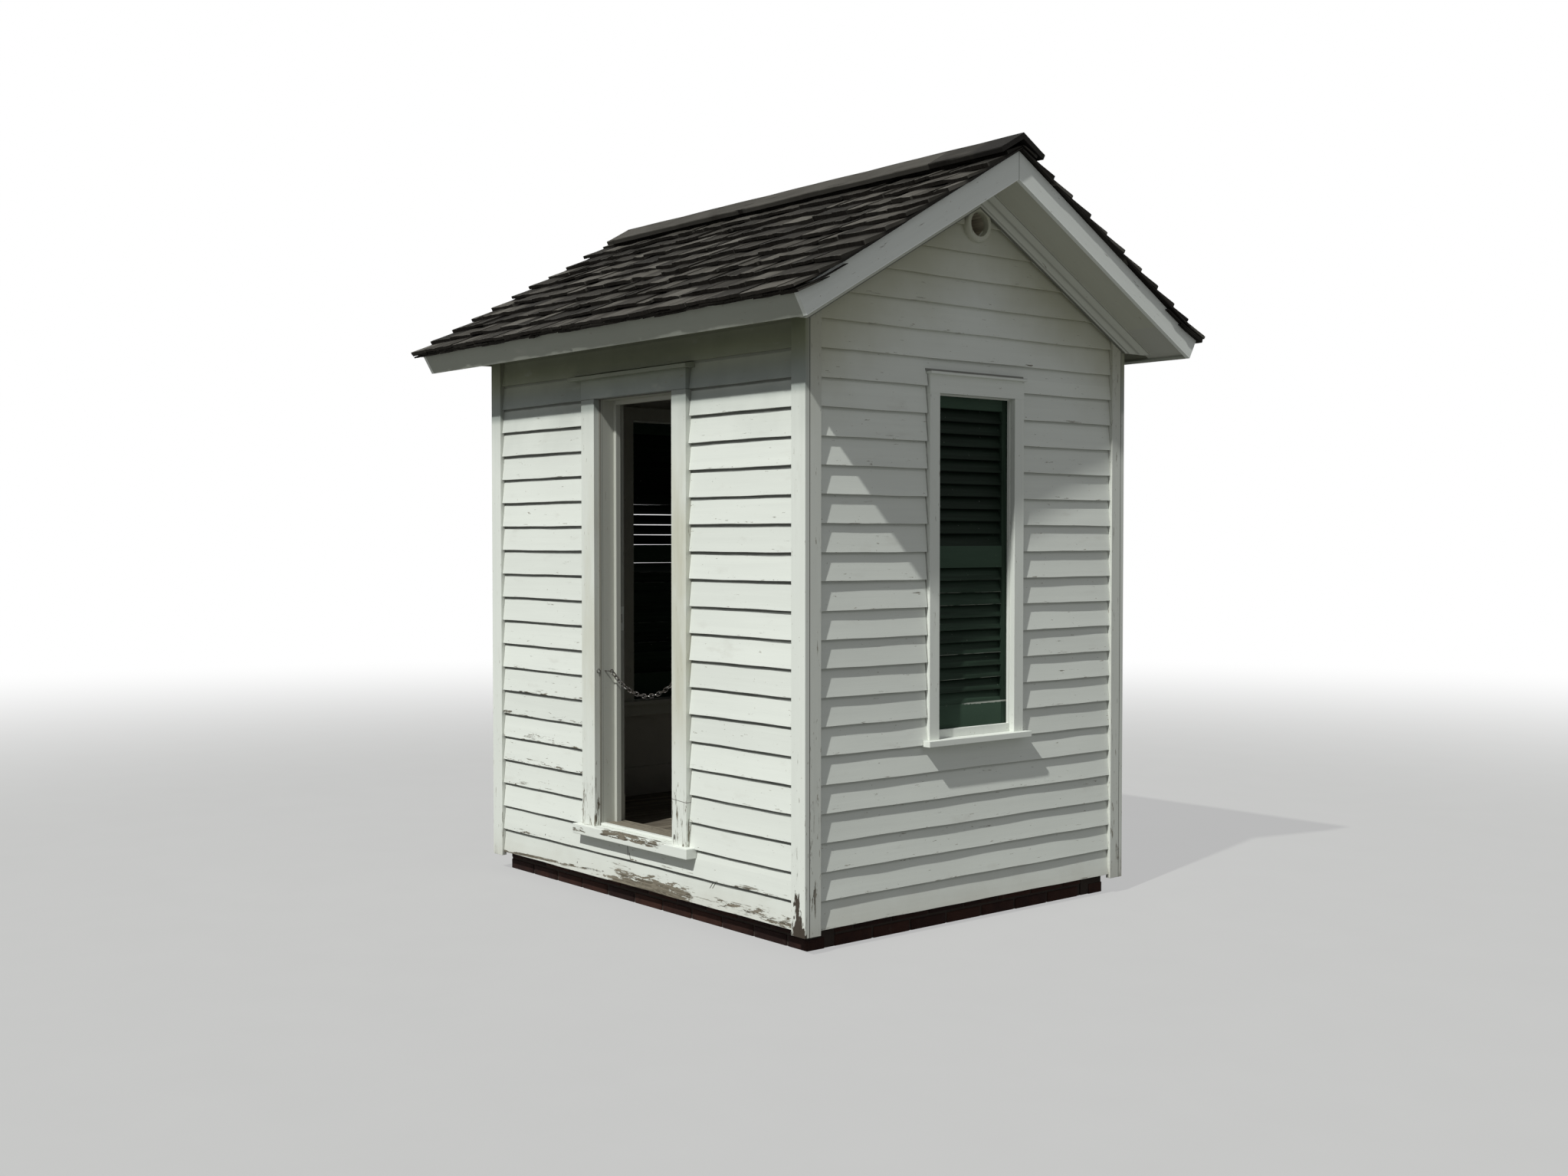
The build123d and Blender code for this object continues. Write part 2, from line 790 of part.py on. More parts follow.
door_casings, door_head, door_cap, door_sill = make_door_trim()
save("door_casings", door_casings)
save("door_head_casing", door_head)
save("door_drip_cap", door_cap)
save("door_sill", door_sill)
save("door_frame", make_door_frame())
door_stops = make_door_stops()
save("door_stops", door_stops)
save("door_threshold", make_threshold(door_stops))
save("door_strike_plate", make_strike())

window_casings, window_head_piece, window_sill = make_window_trim()
left_casings = [to_left(piece) for piece in window_casings]
save("window_casings", Compound(children=window_casings + left_casings))
save("window_head_casings", both_gables(window_head_piece))
save("window_sills", both_gables(window_sill))
save("window_frames", both_gables(make_window_frame()))
save("window_shutters", both_gables(make_shutter()))
save("window_inner_casings", both_gables(make_inner_casing()))

moulding = make_rake_moulding()
save("rake_mouldings", both_gables(moulding))
save("gable_vent_rings", both_gables(make_vent_ring(moulding)))

front_trim = list(door_casings.solids()) + [door_head, door_cap, door_sill]
save("front_siding", make_front_siding(front_trim))
save("back_siding", make_back_siding())
gable_siding = make_gable_siding(window_casings + [window_head_piece, window_sill])
save("right_gable_siding", gable_siding)
save("left_gable_siding", to_left(gable_siding))
corner_faces, corner_sides = make_corner_boards()
save("corner_boards_front_and_back", corner_faces)
save("corner_boards_sides", corner_sides)

deck = make_roof_deck()
save("roof_deck_front", deck)
save("roof_deck_back", to_back(deck))
save("rafters", make_rafters())
eave_soffit, rake_soffits = make_soffits()
save("eave_soffits", Compound(children=[eave_soffit, to_back(eave_soffit)]))
save("rake_soffits_front", Compound(children=rake_soffits))
save("rake_soffits_back", Compound(children=[to_back(piece) for piece in rake_soffits]))
fascia = make_fascia()
save("eave_fascias", Compound(children=[fascia, to_back(fascia)]))
rake_boards = make_rake_boards()
save("rake_boards_front", Compound(children=rake_boards))
save("rake_boards_back", Compound(children=[to_back(piece) for piece in rake_boards]))
shingles = make_shingles()
save("shingles_front", shingles)
save("shingles_back", to_back(shingles))
save("ridge_cap", make_ridge_cap())

save("ceiling", make_ceiling())
save("baseboard", make_baseboard())
save("door_chain", make_chain())
save("chain_eyes", make_chain_eyes())
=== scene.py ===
# %% [markdown]
# # A wooden outhouse, dressed piece by piece
# The building stands already as a plain solid model: walls, trim, roof and chain are in their
# places and at their sizes. This lesson gives it boards, shakes, bricks, paint and rust.
# Nothing is moved. What has the right shape keeps it and gets a finish, and what is made of many
# small pieces, such as the siding and the roof, is built again from single boards.

# %% Open the frame
import bpy
import bmesh
import math
import random
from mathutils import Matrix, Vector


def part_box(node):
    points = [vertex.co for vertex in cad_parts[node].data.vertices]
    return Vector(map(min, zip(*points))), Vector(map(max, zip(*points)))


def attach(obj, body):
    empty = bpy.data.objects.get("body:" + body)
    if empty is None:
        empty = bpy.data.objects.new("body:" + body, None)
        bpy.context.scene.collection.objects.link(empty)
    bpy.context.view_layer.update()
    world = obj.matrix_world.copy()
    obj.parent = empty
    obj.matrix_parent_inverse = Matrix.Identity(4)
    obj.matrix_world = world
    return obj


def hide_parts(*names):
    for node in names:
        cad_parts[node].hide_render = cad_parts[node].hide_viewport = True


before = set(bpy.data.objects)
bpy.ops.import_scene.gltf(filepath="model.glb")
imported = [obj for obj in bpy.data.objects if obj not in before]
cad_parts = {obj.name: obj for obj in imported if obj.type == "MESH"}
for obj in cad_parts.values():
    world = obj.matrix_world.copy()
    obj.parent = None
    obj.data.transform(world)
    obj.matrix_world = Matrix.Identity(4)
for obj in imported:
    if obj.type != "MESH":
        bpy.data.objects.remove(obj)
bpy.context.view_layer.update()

# %% [markdown]
# ## Sums on sockets
# A finish is a chain of shader nodes, and most of them only add, multiply or compare. Wiring those
# by hand hides the idea. A small class wraps one output of a node instead, so that a sum written in
# Python adds the nodes for it. Numbers use the Math node. Colours and directions would turn grey in
# it, so they go through the Mix and Vector Math nodes.


# %% A wire out of a node
class Wire:
    """One output of a node. A sum on it adds the nodes that work it out."""

    def __init__(self, finish, socket):
        self.finish = finish
        self.socket = socket

    def out(self, name):
        """Another output of the same node."""
        return Wire(self.finish, self.socket.node.outputs[name])

    def sum(self, operation, first, second=None):
        kinds = [part.socket.type for part in (first, second) if isinstance(part, Wire)]
        if "RGBA" in kinds:
            settings = {"data_type": "RGBA", "blend_type": operation}
            return self.finish.node("Mix", settings, {0: 1.0, 6: first, 7: second}, 2)
        sockets = {0: first}
        if second is not None:
            sockets[1] = second
        kind = "VectorMath" if "VECTOR" in kinds else "Math"
        return self.finish.node(kind, {"operation": operation}, sockets)

    def __add__(self, other):
        return self.sum("ADD", self, other)

    def __radd__(self, other):
        return self.sum("ADD", other, self)

    def __sub__(self, other):
        return self.sum("SUBTRACT", self, other)

    def __rsub__(self, other):
        return self.sum("SUBTRACT", other, self)

    def __mul__(self, other):
        return self.sum("MULTIPLY", self, other)

    def __rmul__(self, other):
        return self.sum("MULTIPLY", other, self)

    def __pow__(self, other):
        return self.sum("POWER", self, other)

    def __gt__(self, other):
        return self.sum("GREATER_THAN", self, other)

    def __lt__(self, other):
        return self.sum("LESS_THAN", self, other)

    def __abs__(self):
        return self.sum("ABSOLUTE", self)


# %% [markdown]
# ## A finish
# Any other node comes from one method. It takes the node's type, its settings, which are set first,
# and what its sockets get: a wire makes a link, and anything else is written on the socket. A few
# short methods name what a painter of old wood needs most: a blend of two colours, a soft step
# between two levels, and noise stretched along the grain.


# %% Finishes from nodes
def spread(value, kind):
    """A number or a colour of three numbers, in the form that a socket of this kind takes."""
    if kind == "RGBA":
        return (value, value, value, 1) if isinstance(value, (int, float)) else tuple(value[:3]) + (1,)
    if kind == "VECTOR" and isinstance(value, (int, float)):
        return (value, value, value)
    return value


class Finish:
    """A material built up from nodes. The sky, a world, can be built in the same way."""

    def __init__(self, name, world=None):
        self.material = world or bpy.data.materials.new(name)
        self.material.use_nodes = True
        self.tree = self.material.node_tree
        self.tree.nodes.clear()

    def node(self, kind, settings, sockets, out=0):
        node = self.tree.nodes.new("ShaderNode" + kind)
        for key, value in settings.items():
            setattr(node, key, value)
        for key, value in sockets.items():
            socket = node.inputs[key]
            if isinstance(value, Wire):
                self.tree.links.new(value.socket, socket)
            else:
                socket.default_value = spread(value, socket.type)
        return Wire(self, node.outputs[out]) if node.outputs else None

    def blend(self, under, over, share):
        settings = {"data_type": "RGBA", "clamp_factor": True}
        return self.node("Mix", settings, {0: share, 6: under, 7: over}, 2)

    def step(self, value, low, high):
        """0 below low, 1 above high, and a soft step between them."""
        settings = {"interpolation_type": "SMOOTHSTEP"}
        return self.node("MapRange", settings, {"Value": value, "From Min": low, "From Max": high})

    def noise(self, place, scale, detail=3.0, roughness=0.55):
        sockets = {"Vector": place, "Scale": scale, "Detail": detail, "Roughness": roughness}
        return self.node("TexNoise", {}, sockets)

    def seen(self):
        """1 for what the camera sees, straight or in a mirror, and 0 for the light that falls on things."""
        path = self.node("LightPath", {}, {}, "Is Camera Ray")
        return path.sum("MAXIMUM", path.sum("MAXIMUM", path, path.out("Is Glossy Ray")),
                        path.out("Is Transmission Ray"))

    def surface(self, colour, roughness, height=None, metallic=0.0, gloss=0.16):
        """The last nodes. Height is in millimetres."""
        sockets = {"Base Color": colour, "Roughness": roughness, "Metallic": metallic,
                   "Specular IOR Level": gloss}
        if height is not None:
            sockets["Normal"] = self.node("Bump", {}, {"Height": height, "Distance": 0.001})
        shader = self.node("BsdfPrincipled", {}, sockets)
        self.node("OutputMaterial", {}, {"Surface": shader})
        return self


print("a grey of 0.5 on a colour socket is", spread(0.5, "RGBA"))

# %% [markdown]
# ## Where things are
# Sizes are read from the solids rather than typed again, so that the boards follow the model. The
# roof needs its pitch and the height at which its two lower planes meet. A point on a slope is
# given by its run down from the ridge and its offset over that plane.

# %% Levels and faces of the building
pitch = math.radians(29.63)
cos_pitch = math.cos(pitch)
sin_pitch = math.sin(pitch)
deck_offset = 0.102
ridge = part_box("roof_deck_front")[1][2] - deck_offset / cos_pitch
core_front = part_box("front_wall_left")[0][1]
core_back = -core_front
core_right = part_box("right_gable_wall")[1][0]
core_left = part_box("left_gable_wall")[0][0]
x_middle = (core_right + core_left) / 2
corner_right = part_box("corner_boards_front_and_back")[1][0]
corner_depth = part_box("corner_boards_front_and_back")[1][1]
peak_gap = 0.0006
print("ridge", round(ridge, 4), "walls from", round(core_left, 4), "to", round(core_right, 4))


def roof_point(x, run, offset, side=-1):
    """A point on the front slope, or with side 1 on the back slope. None passes the peak."""
    run = max(run, peak_gap - offset * math.tan(pitch))
    y = side * (run * cos_pitch + offset * sin_pitch)
    return (x, y, ridge - run * sin_pitch + offset * cos_pitch)


# %% [markdown]
# ## Many small pieces in one mesh
# Siding, shakes and bricks are hundreds of pieces, and each needs its own grain and its own tint.
# One object per piece would be slow, so a builder gathers them into one mesh. Each piece is a loft:
# rings of points joined one to the next and closed at both ends. Every point also keeps three
# notes for the finish: where it lies along the grain, how far it is from the worn edge, and a
# tint that the whole piece shares.


# %% A builder for boards
class Boards:
    def __init__(self):
        self.points = []
        self.faces = []
        self.grain = []
        self.edge = []
        self.tint = []

    def loft(self, rings, tint, closed=False):
        """Rings hold (point, grain, edge) for each point. Closed joins the last ring to the first."""
        start = len(self.points)
        count = len(rings[0])
        for ring in rings:
            for point, grain, edge in ring:
                self.points.append(point)
                self.grain.extend(grain)
                self.edge.append(edge)
                self.tint.append(tint)
        steps = len(rings) if closed else len(rings) - 1
        for step in range(steps):
            one = start + step * count
            two = start + (step + 1) % len(rings) * count
            for corner in range(count):
                following = (corner + 1) % count
                self.faces.append((one + corner, one + following, two + following, two + corner))
        if not closed:
            self.faces.append(tuple(range(start, start + count)))
            last = start + (len(rings) - 1) * count
            self.faces.append(tuple(reversed(range(last, last + count))))

    def piece(self, name, finish, slot, *nodes, smooth=35):
        mesh = bpy.data.meshes.new(name)
        mesh.from_pydata(self.points, [], self.faces)
        work = bmesh.new()
        work.from_mesh(mesh)
        bmesh.ops.recalc_face_normals(work, faces=work.faces)
        work.to_mesh(mesh)
        work.free()
        mesh.attributes.new("grain", "FLOAT_VECTOR", "POINT").data.foreach_set("vector", self.grain)
        mesh.attributes.new("edge", "FLOAT", "POINT").data.foreach_set("value", self.edge)
        mesh.attributes.new("tint", "FLOAT", "POINT").data.foreach_set("value", self.tint)
        mesh.shade_smooth()
        mesh.set_sharp_from_angle(angle=math.radians(smooth))
        mesh.materials.append(finish.material)
        made = bpy.data.objects.new(name, mesh)
        bpy.context.scene.collection.objects.link(made)
        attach(made, "root")
        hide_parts(*nodes)
        print(name, "faces", len(mesh.polygons), "for", ", ".join(nodes))
        return made


# %% [markdown]
# ## Which way the grain runs
# Wood shows its grain along the board. On the boards made here the grain is a note in the mesh. On
# the solids it follows from the place alone: along X, along Y, upright, or down the slope of the
# roof. The slope counts from the ridge on both sides, so one finish serves both legs of a gable.


# %% Places for the grain
def object_place(finish):
    return finish.node("TexCoord", {}, {}, "Object")


def split(finish, place):
    parts = finish.node("SeparateXYZ", {}, {0: place})
    return parts, parts.out(1), parts.out(2)


def grain_place(finish, along):
    """A place whose first number runs along the grain, in metres."""
    if along == "board":
        return finish.node("Attribute", {"attribute_name": "grain"}, {}, "Vector")
    x, y, z = split(finish, object_place(finish))
    run = abs(y) * cos_pitch - z * sin_pitch
    rise = abs(y) * sin_pitch + z * cos_pitch
    order = {"x": (x, y, z), "y": (y, z, x), "z": (z, x, y), "slope": (run, rise, x)}[along]
    return finish.node("CombineXYZ", {}, dict(enumerate(order)))


def note(finish, name):
    return finish.node("Attribute", {"attribute_name": name}, {}, "Fac")


# %% [markdown]
# ## Bare, weathered wood
# Where paint has gone, sun and rain turn pine grey-brown and wash the soft wood out between the
# hard lines of the grain. Two noises stretched along the board give fine fibres and broad bands,
# and the same fibres drive the relief.


# %% Bare wood
def bare_wood(finish, grain, dark=(0.070, 0.060, 0.045), light=(0.235, 0.208, 0.160)):
    """Colour and relief of weathered wood."""
    fibres = finish.noise(grain * (3.0, 130.0, 130.0), 1.0, 4.0)
    bands = finish.noise(grain * (1.1, 24.0, 24.0), 1.0, 2.0)
    splits = finish.step(finish.noise(grain * (2.2, 60.0, 60.0), 1.0, 2.0), 0.30, 0.36)
    shade = finish.step(fibres * 0.55 + bands * 0.45, 0.34, 0.66)
    colour = finish.blend(dark, light, shade)
    colour = finish.blend((0.025, 0.020, 0.016), colour, splits)
    return colour, fibres * 0.7 + splits * 0.8


# %% [markdown]
# ## Dirt and painted shade on old paint
# Every wall and all the trim carry the same off-white oil paint, many coats thick, and it is never
# clean. Damp has turned it greenish yellow at the top of the gables and grey-green under the eaves,
# and there the grey-green is also painted shade. Over the top of the long walls the colour is
# darkened further, as painted shade of the eave. Mud has splashed up from the ground, and small
# specks and rubbed marks lie everywhere. Each is a blend to its own colour.


# %% Dirt and painted shade
mould_on_gable = (0.40, 0.39, 0.27)
# Under the eaves of the long walls this grey-green is damp and painted shade at once.
damp_and_shade_under_eave = (0.265, 0.290, 0.265)
# The next two colours multiply the top of the long walls as painted shade of the eave, olive near the
# soffit.
painted_shade_on_wall = (0.55, 0.575, 0.575)
painted_shade_at_top = (0.58, 0.58, 0.42)
mud = (0.42, 0.38, 0.31)
speck = (0.34, 0.31, 0.25)
rubbed = (0.52, 0.51, 0.46)


def line(finish, value, at, half_width):
    """1 within half_width of a level, and 0 away from it."""
    return finish.step(abs(value - at), half_width * 1.3, half_width * 0.7)


def dirt_and_eave_shade(finish, colour, grain, place, damp_share):
    """Damp, painted shade under the eaves, mud at the foot, specks and rubbed marks."""
    x, y, z = split(finish, place)
    below_roof = ridge - abs(y) * math.tan(pitch) - z
    damp_and_shade = finish.step(below_roof + finish.noise(place, 3.2, 3.0) * 0.36, 0.78, 0.18)
    long_wall = line(finish, abs(y), corner_depth + 0.010, 0.034)
    long_wall = long_wall * (abs(x - x_middle) < corner_right - x_middle + 0.0025)
    mould_and_eave_shade = finish.blend(mould_on_gable, damp_and_shade_under_eave, long_wall)
    colour = finish.blend(colour, mould_and_eave_shade, damp_and_shade * damp_share)
    painted_shade = finish.blend(painted_shade_on_wall, painted_shade_at_top, finish.step(z, 2.26, 2.42))
    # Painted shade: the long walls are darkened from just above the edge of the eave's shadow up to the
    # soffit.
    colour = finish.blend(colour, colour * painted_shade, long_wall * finish.step(z, 2.185, 2.225))
    splash = finish.step(z + finish.noise(place, 6.0, 4.0) * 0.22, 0.34, 0.14)
    colour = finish.blend(colour, mud, splash * 0.30)
    specks = finish.step(finish.noise(place, 70.0, 2.0), 0.735, 0.76)
    colour = finish.blend(colour, speck, specks * 0.45)
    rubs = finish.step(finish.noise(grain * (5.0, 14.0, 14.0), 1.0, 5.0), 0.60, 0.78)
    return finish.blend(colour, rubbed, rubs * 0.30)


# Where the painted shade under the eaves lies.
print("film on the long walls, near y of", round(corner_depth + 0.010, 3), "m on both sides")

# %% [markdown]
# ## Cracks and flakes
# Along butts and ends old paint cracks, lifts and flakes to the wood. A noise stretched along the
# grain says how likely that is, and three levels of it follow each other: cracks first, then a
# lifted edge, then bare wood. Each kind of piece adds its own wear to the noise, so that it flakes
# where the real one does. A finer noise takes small chips off.


# %% Flakes
crack_dirt = (0.17, 0.15, 0.115)
chip_wood = (0.23, 0.205, 0.16)


def flakes(finish, colour, grain, wear):
    """The colour with its cracks, flakes and chips, how far each place is bare, and the relief."""
    chance = finish.noise(grain * (8.0, 42.0, 42.0), 1.0, 7.0, 0.68) + wear
    bare = finish.step(chance, 0.765, 0.785)
    lifted = finish.step(chance, 0.725, 0.765)
    cracks = finish.noise(grain * (6.0, 120.0, 120.0), 1.0, 4.0)
    cracked = finish.step(cracks, 0.395, 0.355) * finish.step(chance, 0.60, 0.70)
    splits = finish.noise(grain * (5.0, 62.0, 62.0), 1.0, 3.0)
    cracked = cracked + finish.step(splits, 0.415, 0.385) * finish.step(chance, 0.68, 0.76)
    wood, fibre = bare_wood(finish, grain)
    colour = finish.blend(colour, crack_dirt, cracked * 0.85)
    colour = finish.blend(colour, wood, bare)
    chips = finish.noise(grain * (22.0, 120.0, 120.0), 1.0, 4.0) + (chance - 0.5) * 0.45
    colour = finish.blend(colour, chip_wood, finish.step(chips, 0.715, 0.740) * 0.75)
    return colour, bare, lifted * 0.35 - bare * 1.0 - cracked * 0.5 + bare * fibre * 0.6


# %% [markdown]
# ## Old white paint
# The whole paint stacks those layers: white with slow clouds in it, a tint for each board, streaks
# along the grain, dirt with painted shade under the eaves, flakes, and last the marks of one kind of
# piece, among them painted shade and painted highlights. Brush marks and the flakes give the
# relief. Bare wood is duller than paint, so the roughness follows the flakes.


# %% Old paint
trim_white = (0.700, 0.722, 0.676)


def old_paint(name, along, wear=None, marks=None, white=trim_white, damp_share=0.78):
    """White paint with dirt, painted shade under the eaves, cracks and flakes. Wear adds to the chance of a
    flake, from 0 to 1.
    Marks takes the finished colour and returns it with the marks of one kind of piece."""
    finish = Finish(name)
    grain = grain_place(finish, along)
    place = object_place(finish)
    x, y, z = split(finish, place)
    chalky = tuple(part * 1.07 for part in white)
    colour = finish.blend(white, chalky, finish.noise(place, 1.7, 2.0))
    if along == "board":
        colour = colour * (note(finish, "tint") * 0.09 + 0.94)
    streaks = finish.noise(grain * (1.6, 45.0, 45.0), 1.0, 3.0)
    colour = colour * (streaks * 0.10 + 0.95)
    colour = dirt_and_eave_shade(finish, colour, grain, place, damp_share)
    added = wear(finish, x, y, z) if wear else 0.0
    colour, bare, relief = flakes(finish, colour, grain, added)
    if marks:
        colour = marks(finish, colour, grain, x, y, z)
    brush = finish.noise(grain * (5.0, 220.0, 220.0), 1.0, 2.0)
    height = brush * 0.16 + finish.noise(place, 24.0, 3.0) * 0.25 + streaks * 0.22 + relief
    return finish.surface(colour, bare * 0.22 + 0.62, height)


# %% [markdown]
# ## Marks of the corners
# Trim also wears and is marked in its own way. Plain boards flake near the ground. The two boards
# of a corner meet in a dark seam, and one foot has rotted. A wear function adds to the noise of the
# flakes, and a marks function paints over the finished colour. Both work in metres on the building.


# %% Wear and marks of corners
def foot_wear(finish, x, y, z):
    """Plain trim flakes sooner near the ground."""
    return finish.step(z, 0.30, 0.08) * 0.16


def corner_wear(finish, x, y, z):
    """Corner boards crack most on the gable side and towards the foot."""
    gable_side = finish.step(abs(y), core_back + 0.002, core_back - 0.001)
    return gable_side * 0.06 + finish.step(z, 0.95, 0.10) * 0.105


def corner_marks(finish, colour, grain, x, y, z):
    """The seam between the two boards of a corner, grime beside it, and rot at one foot."""
    grime = finish.step(abs(y), corner_depth + 0.0005, corner_depth - 0.010)
    colour = finish.blend(colour, (0.36, 0.355, 0.315), grime * 0.28)
    seam = line(finish, abs(y), core_back - 0.0005, 0.0018)
    colour = finish.blend(colour, (0.030, 0.027, 0.022), seam * 0.9)
    rot_at = 1.192
    ragged = finish.noise(grain * (24.0, 75.0, 75.0), 1.0, 5.0, 0.65) - 0.5
    reach = (0.235 - z) * 0.22 + 0.004
    rot = finish.step(abs(x - rot_at + (z - 0.1) * 0.12) + ragged * 0.10 - reach, 0.004, -0.001)
    rot = rot * (y < 0.010 - corner_depth) * finish.step(z + ragged * 0.20, 0.252, 0.236)
    return finish.blend(colour, (0.042, 0.031, 0.022), rot * 0.98)


print("corner boards out to", round(corner_right, 4), "by", round(corner_depth, 4), "m")

# %% [markdown]
# ## Marks of the doorway
# The door casings are cracked at the foot and grimy at the height of a hand. A seam runs under the
# head, and the right casing has a splice and a hole near its foot. On the jambs, the joint with the
# casings and a long crack beside it hold dirt.


# %% Wear and marks of the doorway
casing_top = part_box("door_casings")[1][2]


def casing_wear(finish, x, y, z):
    """Door casings: the lowest quarter metre is cracked like a dry lake."""
    return finish.step(z, 0.66, 0.50) * 0.17 + finish.step(z, 0.42, 0.33) * 0.05


def casing_marks(finish, colour, grain, x, y, z):
    """Hand grime, the seam under the head, the splice in the right casing and a hole near its foot."""
    right = x > 0.2
    clouds = finish.noise(grain * (2.0, 9.0, 9.0), 1.0, 4.0)
    reached = finish.step(z, 0.60, 1.00) * finish.step(z, 2.15, 1.70) * (right * 0.42 + 0.58)
    grime = finish.step(clouds, 0.30, 0.72) * (reached * 0.60 + 0.05)
    colour = finish.blend(colour, (0.47, 0.45, 0.33), grime)
    under_head = line(finish, z, casing_top - 0.0005, 0.0016)
    splice = line(finish, z + x * 0.06, 0.541, 0.0014) * right
    hole_x, hole_z = x - 0.379, z - 0.358
    hole = finish.step(hole_x * hole_x * 4.0 + hole_z * hole_z, 0.00018, 0.00010)
    return finish.blend(colour, (0.045, 0.038, 0.030), (under_head + splice + hole) * 0.85)


def frame_marks(finish, colour, grain, x, y, z):
    """The joint between casing and jamb holds dirt, and so does a long crack beside it."""
    joint = finish.step(y, core_front + 0.0035, core_front + 0.0010)
    wander = finish.noise(grain * (1.0, 4.0, 4.0), 1.0, 3.0) * 0.004
    crack = line(finish, y + wander, core_front + 0.013, 0.0009)
    colour = finish.blend(colour, (0.44, 0.43, 0.37), 0.35)
    return finish.blend(colour, (0.085, 0.080, 0.066), joint * 0.85 + crack * 0.6)


print("door casings end at", round(casing_top, 4), "m")

# %% [markdown]
# ## Marks under the roof
# The rake boards show their mitre at the peak and a painted highlight along their lower edge. The
# mouldings below them get painted shade in their quirks. Edge and quirks are lines along the slope,
# so they are drawn by how far a place lies over the plane of the rake boards' lower edges. Painted
# shade also lies along the top of the caps over the windows, and the eave soffits are painted dark
# as shade but for their two ends, which catch light.


# %% Marks of gables, soffits and caps
window_head_low, window_head_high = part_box("window_head_casings")


def over_rake_edge(y, z):
    """How far a place lies over the plane of the rake boards' lower edges."""
    return z * cos_pitch + abs(y) * sin_pitch - ridge * cos_pitch


def gable_marks(finish, colour, grain, x, y, z):
    """The mitre at the peak, and a painted highlight along the lower edge."""
    # Painted highlight: a bright line along the lower edge of the rake boards.
    edge = line(finish, over_rake_edge(y, z), 0.001, 0.0035)
    colour = finish.blend(colour, (0.95, 0.97, 0.94), edge * 0.6)
    return finish.blend(colour, (0.10, 0.095, 0.08), line(finish, abs(y), 0.0, 0.0016) * 0.8)


def moulding_marks(finish, colour, grain, x, y, z):
    """Painted shade in the quirks of a moulding: along its foot, in its waist and under the soffit."""
    offset = over_rake_edge(y, z)
    low_quirk = line(finish, offset, -0.0575, 0.0024)
    waist = line(finish, offset, -0.0290, 0.0050)
    top_quirk = line(finish, offset, 0.0020, 0.0020)
    foot = finish.step(offset, -0.0660, -0.0690)
    # Painted shade in the quirks and along the foot of the moulding.
    quirk_shade = low_quirk * 0.6 + waist * 0.5 + top_quirk * 0.8 + foot * 1.3
    return finish.blend(colour, (0.13, 0.13, 0.11), quirk_shade * 0.70)


def soffit_marks(finish, colour, grain, x, y, z):
    """The ends of the eave soffits are left out of their painted shade, as light as the gables' soffits."""
    return finish.blend(colour, (0.53, 0.53, 0.48), abs(x) > corner_right)


def cap_marks(finish, colour, grain, x, y, z):
    """Painted shade along the top of a window's head casing."""
    ragged = z + finish.noise(grain, 9.0, 3.0) * 0.006
    # Painted shade: a dark band along the top of the head casing.
    top = finish.step(ragged, window_head_high[2] - 0.0015, window_head_high[2] + 0.0025)
    return finish.blend(colour, (0.13, 0.125, 0.105), top * 0.75)


print("window heads from", round(window_head_low[2], 4), "to", round(window_head_high[2], 4), "m")

# %% [markdown]
# ## One paint for each kind of trim
# Each kind of trim gets the paint with its own direction of the grain, its wear and its marks. Some
# have another white as well: the sloping boards are painted lighter and bluer, a painted reflection
# of the sky, and the fascias and soffits under the eave are painted dark as shade, because hardly
# any light from the sky reaches them there.


# %% Paints for the trim
# Painted reflection: the sloping boards get a lighter, bluer white that stands in for the sky seen in them.
sloping_white_with_sky_reflection = (0.800, 0.830, 0.815)
# Painted shade: the whites of the eave fascias and eave soffits are dark.
eave_white_painted_shade = (0.330, 0.348, 0.320)
eave_soffit_white_painted_shade = (0.135, 0.140, 0.108)
rake_soffit_white = (0.58, 0.585, 0.525)
jamb_white = (0.49, 0.505, 0.465)
paint_x = old_paint("old_paint_level_boards", "x", foot_wear)
paint_y = old_paint("old_paint_gable_boards", "y", foot_wear, cap_marks)
paint_z = old_paint("old_paint_upright_boards", "z", foot_wear)
paint_slope = old_paint("old_paint_sloping_boards", "slope", None, gable_marks, sloping_white_with_sky_reflection, 0.20)
paint_eave = old_paint("old_paint_eave", "x", None, None, eave_white_painted_shade, 0.20)
paint_moulding = old_paint("old_paint_mouldings", "slope", None, moulding_marks, damp_share=0.30)
paint_soffit = old_paint("old_paint_eave_soffits", "x", None, soffit_marks, eave_soffit_white_painted_shade, 0.10)
paint_rake_soffit = old_paint("old_paint_rake_soffits", "slope", None, None, rake_soffit_white, 0.25)
paint_corner = old_paint("old_paint_corner_boards", "z", corner_wear, corner_marks)
paint_casing = old_paint("old_paint_door_casings", "z", casing_wear, casing_marks)
paint_frame = old_paint("old_paint_door_frame", "z", None, frame_marks, jamb_white)
trim_paints = [paint.name for paint in bpy.data.materials if paint.name.startswith("old_paint")]
print(len(trim_paints), "paints for the trim:", ", ".join(trim_paints))

# %% [markdown]
# ## Clapboards
# Each course is a thin wedge of a board nailed over the one below, 114 mm to the weather. They
# could be a bump on a flat wall, but the dark line under each butt is a real shadow, and the boards
# are not straight: they bow, lift and stop at the trim. So each board is a loft along the wall,
# with its lower edge wandering by a millimetre or so. The wall says how far it reaches at each
# height, and the trim is cut out of it as rectangles.

# %% Wear of the siding
course = 0.1143
siding_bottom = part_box("front_siding")[0][2]
first_course_top = 0.205
second_course_top = 0.319


